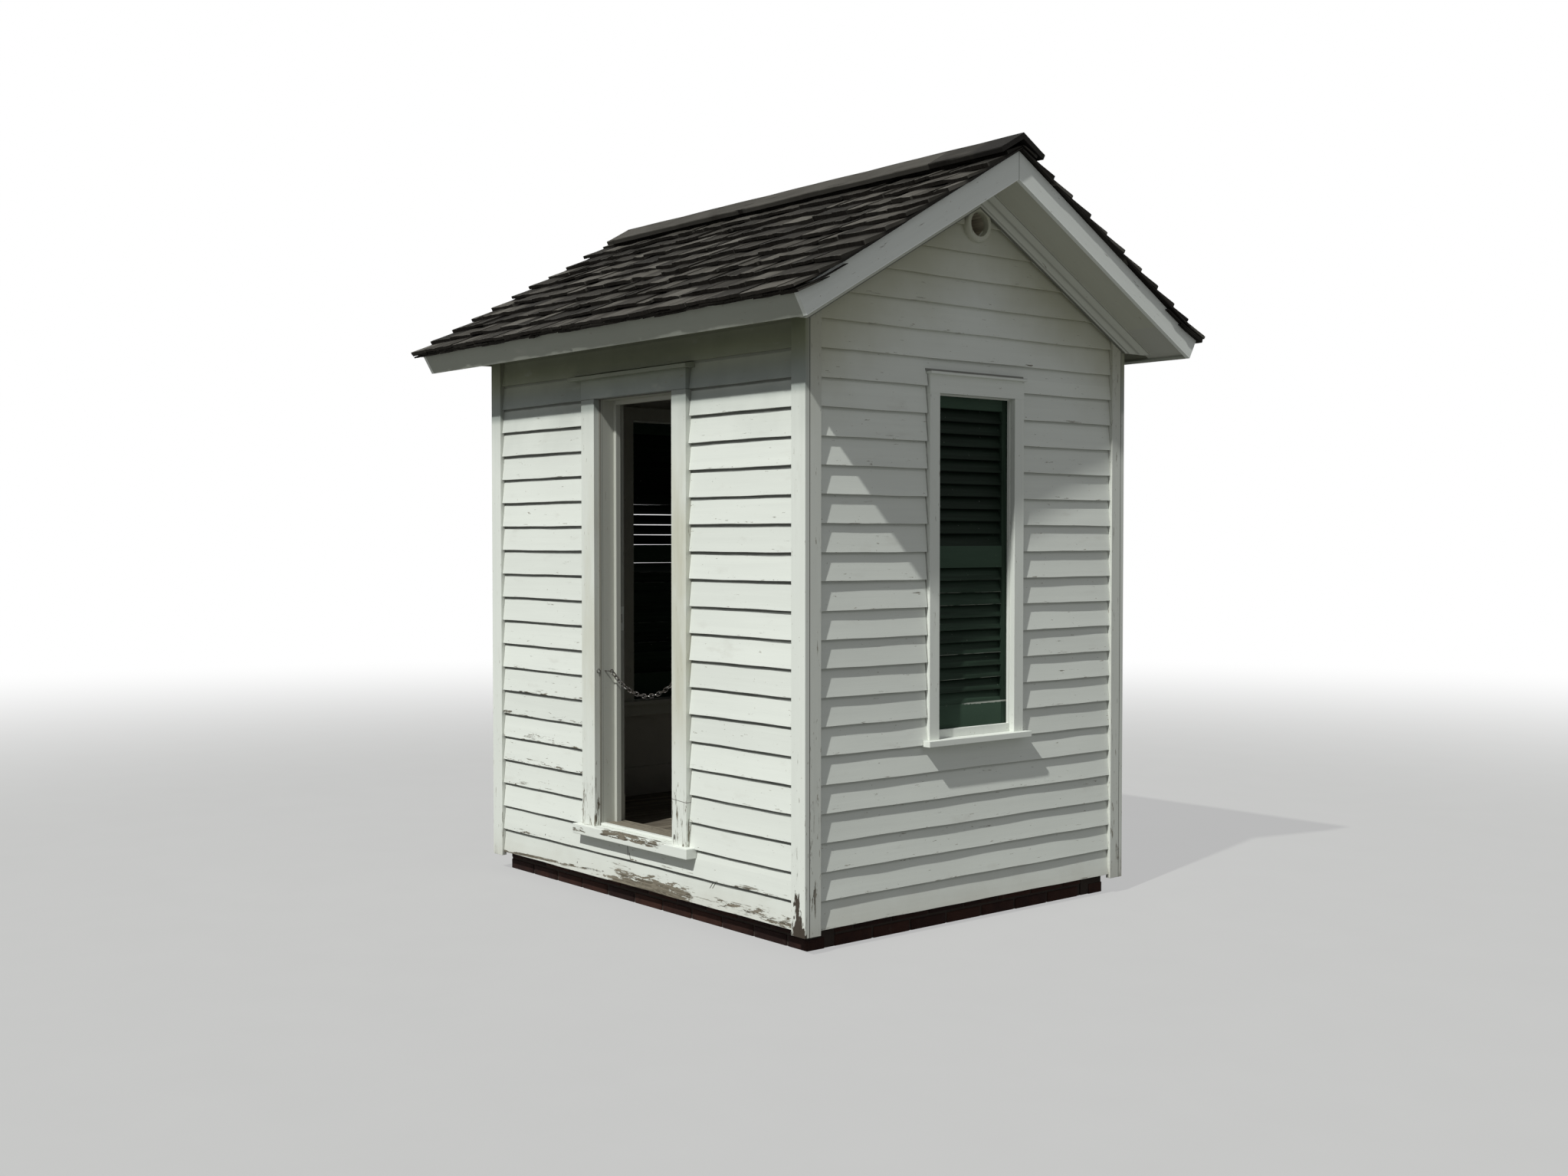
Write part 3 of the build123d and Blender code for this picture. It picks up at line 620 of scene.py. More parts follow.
def siding_wear(finish, x, y, z):
    """Paint lets go first along the butts, and most on the lowest boards of the door wall."""
    rise = note(finish, "edge")
    butt = finish.step(rise, 0.026, 0.002)
    front = y < core_front + 0.01
    lowest = z < first_course_top
    hump = finish.step(abs(x - 0.17), 0.50, 0.14)
    patch = lowest * hump * finish.step(rise, 0.094, 0.050)
    corner = lowest * finish.step(x, 0.45, 0.80) * finish.step(abs(rise - 0.034), 0.036, 0.010)
    lifting = (x + 1.06) * 0.030 + 0.004
    left_end = lowest * finish.step(x, -0.10, -0.30) * line(finish, rise, lifting, 0.0060)
    left = finish.step(x, -0.30, -0.36) * finish.step(abs(z - 0.72), 0.36, 0.20)
    left = left * finish.step(rise, 0.060, 0.010)
    second = (z < second_course_top) * finish.step(rise, 0.042, 0.014)
    worn = patch * 0.30 + corner * 0.22 + left_end * 0.20 + left * 0.13 + second * 0.07
    return butt * 0.07 + front * worn


print("courses of", course, "m from", round(siding_bottom, 4), "m up")

# %% [markdown]
# Painted shade lies where shade falls on the siding: in the crevice under each butt, on the butt's
# underside, along the top of the window heads and in the gap beside the near window. A few
# scratches cross the lowest boards of the door wall. They are given one by one, as a place along
# the wall, a height, a length and a slant.

# %% Marks of the siding
scratches = [(0.001, 0.242, 0.044, -0.25), (0.020, 0.222, 0.028, -0.45), (0.604, 0.181, 0.026, 0.7),
             (0.622, 0.183, 0.026, 0.7), (-0.682, 0.224, 0.008, 0.0), (-0.410, 0.131, 0.009, 0.0)]
window_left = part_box("window_casings")[0][1]


def scratched(finish, x, z):
    """1 on a scratch, and 0 beside it."""
    strokes = 0.0
    for middle, level, length, slant in scratches:
        across = finish.step(abs(x - middle - (z - level) * slant), 0.0029, 0.0018)
        strokes = across * finish.step(abs(z - level), length * 0.55, length * 0.40) + strokes
    return strokes


def siding_marks(finish, colour, grain, x, y, z):
    """Painted shade in the crevice under each butt, on its underside and round the windows, and scratches.
    """
    rise = note(finish, "edge")
    ragged = finish.noise(grain * (14.0, 30.0, 30.0), 1.0, 4.0)
    # Painted shade: the top of each board, just under the butt above, is darkened.
    crevice_shade = finish.step(rise - ragged * 0.006, course - 0.0165, course - 0.0105)
    underside_shade = finish.step(rise, -0.0003, -0.0020)
    # The painted shade fades out under the eave.
    shade_fade_under_eave = 1.0 - finish.step(z, 2.15, 2.50) * 0.70
    long_wall = abs(y) > core_back - 0.0005
    dark = (crevice_shade * (long_wall * 0.62 + 0.20) + underside_shade * 0.60) * shade_fade_under_eave
    # This dark blend is painted shade, strongest on the long walls.
    colour = finish.blend(colour, (0.060, 0.062, 0.052), dark)
    # Painted shade over the window heads and in the gap beside the near window's casing.
    shade_over_window_head = line(finish, z, window_head_high[2] + 0.005, 0.0055)
    shade_over_window_head = shade_over_window_head * (abs(y) < window_head_high[1] + 0.008) * (abs(x) > 1.12)
    shade_beside_casing = line(finish, y, window_left - 0.0025, 0.0030) * (abs(z - 1.60) < 0.70) * (x > 1.15)
    strokes = scratched(finish, x, z) * (y < core_front + 0.001)
    marks = shade_over_window_head * 0.75 + shade_beside_casing * ragged * 1.1 + strokes
    # This blend carries that painted shade and the real scratches.
    return finish.blend(colour, (0.060, 0.055, 0.044), marks)


siding_paint = old_paint("old_paint_clapboards", "board", siding_wear, siding_marks)
print("siding paint with", len(scratches), "scratches")

# %% [markdown]
# ## Spans between the trim
# Boards stop at the trim, so casings, heads and sills are cut out of the courses as rectangles.
# What is left of a course between two heights is a row of spans, and a board fills each.


# %% Spans
def free_spans(spans, cuts, low, high):
    """What is left of the spans between two heights, once the cuts there are taken out."""
    for cut_left, cut_right, cut_low, cut_high in cuts:
        if cut_low < high - 1e-6 and cut_high > low + 1e-6:
            kept = []
            for left, right in spans:
                if cut_right <= left or cut_left >= right:
                    kept.append((left, right))
                    continue
                if cut_left > left:
                    kept.append((left, cut_left))
                if cut_right < right:
                    kept.append((cut_right, right))
            spans = kept
    return spans


print("a cut leaves", free_spans([(-1.0, 1.0)], [(-0.3, 0.3, 0.0, 2.0)], 0.0, 0.1))

# %% [markdown]
# ## The outline of a wall
# A wall knows how far it reaches at each height, what is cut out of it and where its vent is. Where
# its outline turns a corner, at the edge of a cut, at the slant of the roof or at the vent, it
# splits a course into bands. It also says where each board starts and ends.


# %% A wall
class Wall:
    """Where the boards of one wall may lie. At gives the point for a place along it, a depth and a
    height. Half gives half its length at a height. Vent is its height and its radius."""

    def __init__(self, at, middle, half, top, cuts, vent=None):
        self.at = at
        self.middle = middle
        self.half = half
        self.top = top
        self.cuts = cuts
        self.vent = vent

    def breaks(self, level, upper):
        """Heights where the outline of a course turns a corner."""
        found = {level, upper}
        for cut in self.cuts:
            found |= {edge for edge in cut[2:] if level < edge < upper}
        if self.half(level) != self.half(upper):
            steps = [level + course * k / 12 for k in range(13)]
            kink = next((step for step in steps if self.half(step) < self.half(level) - 1e-5), upper)
            if level < kink < upper:
                found.add(kink)
        if self.vent:
            height, radius = self.vent
            found |= {edge for edge in (height - radius, height) if level < edge < upper}
        return sorted(found)

    def meets_vent(self, high):
        return self.vent is not None and high > self.vent[0] - self.vent[1] + 1e-6

    def spans(self, low, high, joints):
        """The lengths that boards fill between two heights."""
        full = [(self.middle - 9, self.middle + 9)]
        if self.meets_vent(high):
            full = [(self.middle - 9, self.middle - 1e-4), (self.middle + 1e-4, self.middle + 9)]
        found = []
        for left, right in free_spans(full, self.cuts, low, high):
            inner = [edge for edge in joints if left < edge < right and right - left > 3]
            edges = [left] + inner + [right]
            found += list(zip(edges, edges[1:]))
        return found

    def ends(self, left, right, gaps, height):
        """Where a board starts and ends at a height, clear of the trim and of the vent."""
        one = max(left + gaps[0], self.middle - self.half(height))
        two = min(right - gaps[1], self.middle + self.half(height))
        if self.vent:
            vent_height, radius = self.vent
            over = max(-radius, min(0.0, height - vent_height))
            clear = math.sqrt(max(radius ** 2 - over ** 2, 0.0))
            if abs(left - self.middle) < 0.01:
                one = self.middle + clear
            elif abs(right - self.middle) < 0.01:
                two = self.middle - clear
        return one, two


# %% [markdown]
# ## One clapboard
# A board is 14.8 mm thick at its butt and almost nothing at its top, where the next one laps it.
# Its section goes from the wall out to the butt, up the face and back. Along the wall it bows and
# lifts by about a millimetre, and every board of a course shares that sway.


# %% Lay a course
def course_sway(chance):
    """How far one course lifts and bows, as a function of the place along the wall."""
    waves = [chance.uniform(0, math.tau) for _ in range(4)]
    tilt = chance.uniform(-0.0012, 0.0012)

    def sway(u):
        lift = 0.0008 * math.sin(u * 7.6 + waves[0]) + 0.0005 * math.sin(u * 21 + waves[1]) + tilt * u
        bow = 0.0009 * math.sin(u * 4.9 + waves[2]) + 0.0004 * math.sin(u * 15 + waves[3])
        return lift, bow

    return sway


def course_joints(chance, number):
    """Where two boards of a long course meet: near the middle, then out to one side, in turn."""
    if number % 2:
        return [chance.uniform(-0.55, 0.55)]
    return [chance.choice((-0.8, 0.8)) * chance.uniform(0.5, 1)]


def board_section(low, high, inner, is_butt, is_lapped):
    """Heights and shares of the full depth, round the section of a board."""
    section = [(low, 0.0)]
    section += [(low, 0.90), (low + 0.0012, 1.0)] if is_butt else [(low, 1.0)]
    section += [(height, 1.0) for height in inner] + [(high, 1.0)]
    section += [(high + 0.005, 0.9), (high + 0.005, 0.0)] if is_lapped else [(high, 0.0)]
    return section


def board_point(wall, sway, u, level, rise, depth_share, grain_row):
    """A point of a board with its notes. The wedge and its bow fade out towards the top."""
    fade = max(0.0, 1 - rise / course)
    lift, bow = sway(u)
    depth = 0.0148 - 0.0140 * rise / course + bow * fade
    height = level + rise + lift * fade
    place = wall.at(u, max(depth * depth_share, 0.0006), height)
    return (place, (u, rise, grain_row), rise)


print("points round a board:", len(board_section(0.0, course, [], True, True)))

# %% [markdown]
# ## Courses from the foot up
# A wall is laid course by course. Each has its sway and four tints to share out, and each board
# keeps a small gap of its own at both ends. The note of the edge is the height over the butt, and
# the point behind the butt gets a negative one, so that the finish finds the underside.


# %% Lay a wall
def clapboards(name, node, wall, seed, joints=False):
    chance = random.Random(seed)
    boards = Boards()
    number = 0
    level = siding_bottom
    while level < wall.top - 0.004:
        upper = min(level + course, wall.top)
        sway = course_sway(chance)
        meetings = course_joints(chance, number) if joints else []
        tints = [chance.random() for _ in range(4)]
        breaks = wall.breaks(level, upper)
        for low, high in zip(breaks, breaks[1:]):
            inner = [low + (high - low) * k / 6 for k in range(1, 6)] if wall.meets_vent(high) else []
            section = board_section(low, high, inner, low == level,
                                    high == upper and upper < wall.top - 0.001)
            for index, (left, right) in enumerate(wall.spans(low, high, meetings)):
                gaps = [chance.choice((0.0010, 0.0016, 0.0030, 0.0042)) for _ in range(2)]
                one, two = wall.ends(left, right, gaps, low)
                if two - one < 0.004:
                    continue
                stations = max(2, math.ceil((two - one) / 0.06))
                rings = []
                for station in range(stations + 1):
                    ring = []
                    for height, depth_share in section:
                        one, two = wall.ends(left, right, gaps, min(max(height, level), high))
                        u = one + (max(two, one + 0.0005) - one) * (station / stations)
                        ring.append(board_point(wall, sway, u, level, height - level, depth_share,
                                                number * 0.37 + seed))
                    if low == level:
                        ring[0] = ring[0][:2] + (-0.004,)
                    rings.append(ring)
                boards.loft(rings, tints[index % 4])
        level = upper
        number += 1
    return boards.piece(name, siding_paint, "white_painted_wood", node)


# %% [markdown]
# The door wall runs between its two corner boards and up to the soffit. The casings, the head, the
# drip cap and the sill are cut out of it.

# %% The door wall and the back wall
corner_inner_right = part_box("front_siding")[1][0]
corner_inner_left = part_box("front_siding")[0][0]
wall_half = (corner_inner_right - corner_inner_left) / 2 - 0.001
eave_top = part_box("front_siding")[1][2]
casing_low, casing_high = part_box("door_casings")
head_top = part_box("door_head_casing")[1][2]
cap_low, cap_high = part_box("door_drip_cap")
sill_low, sill_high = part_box("door_sill")
door_cuts = [
    (casing_low[0], casing_high[0], casing_low[2], head_top),
    (cap_low[0], cap_high[0], cap_low[2], cap_high[2] - 0.009),
    (sill_low[0], sill_high[0], sill_low[2], sill_high[2]),
]


def on_front(u, depth, z):
    return (u, core_front - depth, z)


def on_back(u, depth, z):
    return (u, core_back + depth, z)


front_wall = Wall(on_front, x_middle, lambda z: wall_half, eave_top, door_cuts)
back_wall = Wall(on_back, x_middle, lambda z: wall_half, eave_top, [])
clapboards("front_clapboards", "front_siding", front_wall, 3)
clapboards("back_clapboards", "back_siding", back_wall, 11, joints=True)

# %% [markdown]
# The gable walls narrow under the roof, so their boards end on a slant behind the moulding. The
# window is cut out, and the boards near the peak end in a curve behind the ring of the vent.

# %% The gable walls
gable_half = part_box("right_gable_siding")[1][1]
behind_moulding = 0.060
gable_peak = ridge - behind_moulding / cos_pitch
ring_radius = 0.075
vent_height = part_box("gable_vent_rings")[0][2] + ring_radius
board_radius = 0.063
window_low, window_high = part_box("window_casings")
window_sill_low, window_sill_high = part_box("window_sills")
head_lip = window_head_high[2] - 0.012
window_cuts = [
    (window_low[1], window_high[1], window_low[2], window_high[2]),
    (window_low[1], window_high[1], window_head_low[2], head_lip),
    (window_sill_low[1], window_sill_high[1], window_sill_low[2], window_sill_high[2]),
    (window_head_low[1], window_head_high[1], head_lip, window_head_high[2]),
]


def gable_reach(height):
    slope = (gable_peak - height) / math.tan(pitch)
    return max(min(gable_half - 0.001, slope - 0.001), 0.0)


def on_right(u, depth, z):
    return (core_right + depth, u, z)


def on_left(u, depth, z):
    return (core_left - depth, u, z)


for name, node, at, seed in (("right_gable_clapboards", "right_gable_siding", on_right, 23),
                             ("left_gable_clapboards", "left_gable_siding", on_left, 37)):
    gable = Wall(at, 0.0, gable_reach, gable_peak - 0.004, window_cuts, (vent_height, board_radius))
    clapboards(name, node, gable, seed)

# %% [markdown]
# ## Trim
# Corner boards, casings, fascias and mouldings have the right shape already. Real ones have an edge
# that a plane has taken off, which catches the light, so they get a narrow bevel. The solids come
# in with split corners, and a weld before the bevel joins them. Then each takes the paint whose
# grain runs its way.


# %% Dress the trim
plain_edge = 0.0015
weld_distance = 0.00002


def weld(piece):
    """Join the split corners of a solid."""
    joined = piece.modifiers.new("weld", "WELD")
    joined.merge_threshold = weld_distance


def dress(node, finish, bevel=plain_edge):
    """Give a solid its finish, and an edge taken off by bevel metres."""
    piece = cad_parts[node]
    if not piece.material_slots:
        piece.data.materials.append(finish.material)
    for holder in piece.material_slots:
        holder.link = "OBJECT"
        holder.material = finish.material
    if bevel:
        weld(piece)
        round_off = piece.modifiers.new("round_off", "BEVEL")
        round_off.width = bevel
        round_off.segments = 2
        round_off.limit_method = "ANGLE"
        round_off.angle_limit = math.radians(50)
        round_off.harden_normals = False
    return piece


trim = [
    (paint_x, plain_edge, ("door_head_casing", "door_drip_cap")),
    (paint_eave, plain_edge, ("eave_fascias",)),
    (paint_soffit, 0, ("eave_soffits",)),
    (paint_corner, plain_edge, ("corner_boards_front_and_back", "corner_boards_sides")),
    (paint_casing, plain_edge, ("door_casings",)),
    (paint_frame, plain_edge, ("door_frame", "door_stops")),
    (paint_z, plain_edge, ("window_casings", "window_frames", "gable_vent_rings")),
    (paint_y, plain_edge, ("window_head_casings", "window_sills")),
    (paint_slope, plain_edge, ("rake_boards_front", "rake_boards_back")),
    (paint_moulding, plain_edge, ("rake_mouldings",)),
    (paint_rake_soffit, 0, ("rake_soffits_front", "rake_soffits_back")),
]
for finish, bevel, nodes in trim:
    for node in nodes:
        dress(node, finish, bevel)
print("trim dressed:", sum(len(nodes) for finish, bevel, nodes in trim), "pieces")

# %% [markdown]
# ## The room
# Inside, the same white is dull and grey: dust lies on it, and the grey is also painted shade of
# the room. It is darker towards the floor. The gable walls are bored through for the vents, and
# the bore shows bare wood, so their finish changes within its radius.


# %% Dull paint and the bores
bore_radius = 0.056


def room_paint(name, bored=False):
    finish = Finish(name)
    place = object_place(finish)
    x, y, z = split(finish, place)
    clouds = finish.noise(place, 2.6, 4.0)
    # Dust and painted shade of the room: a dull grey instead of the outside white.
    colour = finish.blend((0.40, 0.39, 0.35), (0.52, 0.51, 0.47), clouds)
    smears = finish.step(finish.noise(place * (3.0, 3.0, 9.0), 1.0, 5.0), 0.55, 0.75)
    colour = finish.blend(colour, (0.27, 0.25, 0.21), smears * 0.45)
    # The walls are darker towards the floor.
    low = finish.step(z + clouds * 0.2, 0.62, 0.38)
    colour = finish.blend(colour, (0.20, 0.18, 0.15), low * 0.5)
    height = finish.noise(place, 30.0, 3.0) * 0.5 + clouds * 0.6
    if bored:
        wood, fibre = bare_wood(finish, place, (0.34, 0.30, 0.23), (0.72, 0.67, 0.55))
        from_vent = z - vent_height
        bore = (y * y + from_vent * from_vent) ** 0.5 < bore_radius
        colour = finish.blend(colour, wood, bore)
        height = height + bore * fibre
    return finish.surface(colour, 0.74, height)


dull_white_and_room_shade = room_paint("dull_white_room_paint")
bored_white_and_room_shade = room_paint("dull_white_with_bore", bored=True)
for node in ("right_gable_wall", "left_gable_wall"):
    dress(node, bored_white_and_room_shade, 0)
plain_walls = ("front_wall_left", "front_wall_right", "front_wall_over_door", "front_wall_under_door",
               "back_wall", "ceiling")
for node in plain_walls:
    dress(node, dull_white_and_room_shade, 0)
dress("baseboard", dull_white_and_room_shade)
dress("window_inner_casings", paint_frame)
print("room dressed, with bores of", bore_radius, "m at", round(vent_height, 4), "m")

# %% [markdown]
# ## Bare boards
# The floor and the framing were never painted. They use the wood from before as a whole finish,
# with brown dirt worked into it. The rafters, the joists and the roof deck hardly show, so one
# finish serves them all.


# %% Bare boards
def bare_finish(name, along, dark, light):
    finish = Finish(name)
    grain = grain_place(finish, along)
    colour, relief = bare_wood(finish, grain, dark, light)
    if along == "board":
        colour = colour * (note(finish, "tint") * 0.35 + 0.80)
    dirt_share = finish.step(finish.noise(object_place(finish), 7.0, 4.0), 0.35, 0.75) * 0.35
    colour = finish.blend(colour, (0.09, 0.075, 0.06), dirt_share)
    return finish.surface(colour, 0.86, relief * 1.3)


framing = bare_finish("bare_framing", "x", (0.16, 0.12, 0.08), (0.36, 0.27, 0.17))
floor_wood = bare_finish("bare_floor", "board", (0.060, 0.050, 0.038), (0.230, 0.200, 0.155))
hidden_framing = ("floor_joists", "rafters", "roof_deck_front", "roof_deck_back")
for node in hidden_framing:
    dress(node, framing, 0)
print("bare framing on", ", ".join(hidden_framing))

# %% [markdown]
# ## The sill and the threshold
# Both were painted once. The sill is bare on its nosing where feet land, and flakes at its left
# end. The threshold is worn to the wood but for a strip along its front edge, which feet step over.


# %% Worn sill and threshold
foot_edge = 0.003


def sill_wear(finish, x, y, z):
    """Bare on the nosing where feet land, and flaking at the left end."""
    ragged = finish.noise(object_place(finish) * (16.0, 90.0, 90.0), 1.0, 5.0, 0.65)
    middle = finish.step(x, -0.19, -0.10) * finish.step(x, 0.36, 0.26)
    nosing = finish.step(z, 0.2945, 0.3035) * finish.step(y, -0.955, -0.985)
    left_end = finish.step(x, -0.20, -0.34)
    return middle * nosing * (ragged * 1.3 - 0.33) + left_end * 0.14 + finish.step(x, 0.30, 0.0) * 0.06


def threshold_wear(finish, x, y, z):
    """The front edge keeps the paint of the sill, and the rest is worn to the wood."""
    return finish.step(y, core_front + 0.017, core_front + 0.024) * 0.60


dress("door_sill", old_paint("old_paint_door_sill", "x", sill_wear), foot_edge)
dress("door_threshold", old_paint("old_paint_threshold", "x", threshold_wear), foot_edge)
print("sill and threshold with edges rounded by", foot_edge, "m")

# %% [markdown]
# ## The floor inside
# The floor boards run from front to back, and a little of them shows through the doorway. Each is a
# loft of its own, with eased edges and a gap to the next.

# %% Floor boards
floor_low, floor_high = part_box("floor_deck")
floor_boards = Boards()
floor_chance = random.Random(5)
floor_count = 18
floor_stations = 18
eased = 0.002
floor_width = (floor_high[0] - floor_low[0]) / floor_count
for number in range(floor_count):
    x0 = floor_low[0] + number * floor_width + 0.001
    x1 = x0 + floor_width - 0.0025
    sag = floor_chance.uniform(0, 0.0015)
    rings = []
    for station in range(floor_stations + 1):
        y = floor_low[1] + (floor_high[1] - floor_low[1]) * station / floor_stations
        top = floor_high[2] - sag - 0.0008 * math.sin(station * 0.9 + number)
        outline = [(x0, floor_low[2]), (x1, floor_low[2]), (x1, top - eased), (x1 - eased, top)]
        outline += [((x0 + x1) / 2, top - 0.0008), (x0 + eased, top), (x0, top - eased)]
        rings.append([((x, y, z), (y, x, number * 0.7), 0.05) for x, z in outline])
    floor_boards.loft(rings, floor_chance.random())
floor_boards.piece("floor_boards", floor_wood, "bare_boards", "floor_deck")

# %% [markdown]
# ## Shakes
# The roof is laid with split wooden shakes, each of its own width. Almost three layers lie at any
# point, and each course leaves 131 mm of the one below uncovered. The faces have weathered from
# brown to grey, more on some shakes than on others. Worn butts are paler, and the end grain, the
# splits and what the next course covers are nearly black. That black reaches a little below the
# next butt, as painted shade under it.


# %% Weathered shakes
def shake_finish(name, dark, light, silver, dark_end=False):
    """Dark end adds the black that stains the right end of the ridge."""
    finish = Finish(name)
    grain = grain_place(finish, "board")
    tint = note(finish, "tint")
    edge = note(finish, "edge")
    fibres = finish.noise(grain * (5.0, 150.0, 150.0), 1.0, 5.0, 0.6)
    bands = finish.noise(grain * (2.0, 30.0, 30.0), 1.0, 3.0)
    blotches = finish.noise(object_place(finish), 5.0, 3.0)
    shade = finish.step(fibres * 0.50 + bands * 0.30 + tint * 0.30, 0.34, 0.86)
    colour = finish.blend(dark, light, shade)
    grey = finish.step(bands * 0.35 + blotches * 0.40 + tint * 0.45, 0.56, 0.90)
    colour = finish.blend(colour, silver, grey * 0.70)
    worn = finish.step(edge, 0.020, 0.004) * finish.step(fibres, 0.42, 0.60)
    colour = finish.blend(colour, silver, worn * 0.35)
    end_grain = finish.step(edge, 0.0015, 0.0004)
    colour = finish.blend(colour, (0.012, 0.010, 0.008), end_grain * 0.85)
    # Nearly black from 98 mm up: the covered part, and below the next butt a band of painted shade.
    covered_and_butt_shade = finish.step(edge, 0.098, 0.130)
    colour = finish.blend(colour, (0.010, 0.009, 0.008), covered_and_butt_shade * 0.85)
    splits = finish.step(finish.noise(grain * (3.0, 75.0, 75.0), 1.0, 2.0), 0.36, 0.31)
    colour = finish.blend(colour, (0.010, 0.008, 0.007), splits * 0.85)
    if dark_end:
        x, y, z = split(finish, object_place(finish))
        stain = finish.step(x + bands * 0.12, 1.33, 1.40)
        colour = finish.blend(colour, (0.014, 0.013, 0.012), stain * 0.85)
    relief = fibres * 0.9 + bands * 0.8 - splits * 1.6
    return finish.surface(colour, 0.88, relief, gloss=0.08)


shake_wood = shake_finish("weathered_shakes", (0.014, 0.013, 0.011), (0.066, 0.060, 0.051),
                          (0.125, 0.118, 0.104))
exposure = 0.131
course_count = 11
shingle_low, shingle_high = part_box("shingles_front")
butt_offset = 0.140
first_run = (-shingle_low[1] - butt_offset * sin_pitch) / cos_pitch
print("first butt at", round(first_run, 4), "m down the slope")


# %% [markdown]
# ## One shake
# A shake is a loft up the slope with seven points across, so that its face can cup and twist and
# its butt can wander. It thins towards its hidden end. The shakes at the eave are kept calmer than
# the rest, because the real ones there lie flat in a straight row.


# %% A shake
shake_columns = 6
shake_rows = (0.0, 0.03, 0.18, 0.36, 0.62, 1.0)
face_rise = 0.0014


def shake(boards, chance, x0, x1, butt, length, top, thick, side):
    """One shake, from its butt up the slope. Top is the offset of its face at the butt."""
    calm = 0.35 if butt > first_run - 0.03 else 1.0
    slant = chance.uniform(-0.009, 0.009) * calm
    cup = chance.uniform(-0.0055, 0.0022) * calm
    twist = chance.uniform(-0.0045, 0.0045) * calm
    ragged = [chance.uniform(-0.0030, 0.0) * calm for _ in range(shake_columns + 1)]
    bumps = [chance.uniform(-0.0012, 0.0006) for _ in range(shake_columns + 1)]
    shift = chance.uniform(0, 9)
    rings = []
    for row, row_share in enumerate(shake_rows):
        along = length * row_share
        fall = 0.0185 * min(along / exposure, 1.0) + 0.010 * max(along - exposure, 0.0) / length
        thin = thick - (thick - 0.0025) * along / length
        top_row = []
        low_row = []
        for column in range(shake_columns + 1):
            share = column / shake_columns
            x = x0 + (x1 - x0) * share
            run = butt - along
            if row == 0:
                run = min(run + slant * (share - 0.5) + ragged[column], first_run)
            warp = cup * (1 - (2 * share - 1) ** 2) + twist * (share - 0.5) * 2 + bumps[column]
            face = top - fall + min(warp, face_rise)
            face -= face_rise if row == 0 else 0.0
            grain = (along + shift, x - x0 + shift, shift)
            top_row.append((roof_point(x, run, face, side), grain, along))
            low_row.append((roof_point(x, run, face - thin, side), grain, along if row else 0.0))
        rings.append(top_row + low_row[::-1])
    boards.loft(rings, chance.random())


print("a shake has", len(shake_rows), "rows of", shake_columns + 1, "points")

# %% [markdown]
# ## A slope of shakes
# The first course lies on two short ones, as on the real eave. Then course follows course up to the
# ridge. In a course, shakes of random widths are laid from left to right with small gaps, and the
# last one is cut to fit. Each slips and lifts a little by itself.


# %% Lay the shakes
shake_length = 0.385
shake_widths = (0.085, 0.105, 0.12, 0.135, 0.15, 0.17, 0.20)
least_width = 0.075


def shake_slope(name, node, side, seed):
    boards = Boards()
    chance = random.Random(seed)
    left, right = shingle_low[0], shingle_high[0]
    eave = first_run + (-0.004 if side < 0 else 0.0)
    # each layer is its butt, the offset of its face, its length and the range of its thickness
    layers = [
        (eave - 0.004, 0.1120, 0.17, 0.006, 0.008),
        (eave - 0.002, 0.1200, 0.28, 0.006, 0.008),
        (eave, 0.1385, shake_length, 0.012, 0.018),
    ]
    for number in range(1, course_count):
        layers.append((first_run - number * exposure, 0.1392, shake_length, 0.012, 0.020))
    for butt, top, length, thinnest, thickest in layers:
        length = min(length, butt + 0.085)
        x = left + chance.uniform(0.0, 0.008)
        while x < right - 0.03:
            width = chance.choice(shake_widths) * chance.uniform(0.9, 1.1)
            if right - x - width < least_width:
                width = right - x - chance.uniform(0.0, 0.003)
            gap = chance.uniform(0.0015, 0.006)
            slip = chance.uniform(-0.013, 0.0) * (0.4 if butt > first_run - 0.02 else 1.0)
            lift = chance.uniform(-0.0055, -0.0005)
            thick = chance.uniform(thinnest, thickest)
            shake(boards, chance, x, x + width - gap, butt + slip, length, top + lift, thick, side)
            x += width
    return boards.piece(name, shake_wood, "weathered_shingles", node, smooth=28)


shake_slope("front_shakes", "shingles_front", -1, 101)
shake_slope("back_shakes", "shingles_back", 1, 202)

# %% [markdown]
# ## Ridge boards
# Two rows of boards, one on each slope, cover the peak. They are darker than the shakes, and their
# right end is stained black. Each side is two lengths with a joint nearer to the right end, and a
# board's foot wanders by a few millimetres along it.


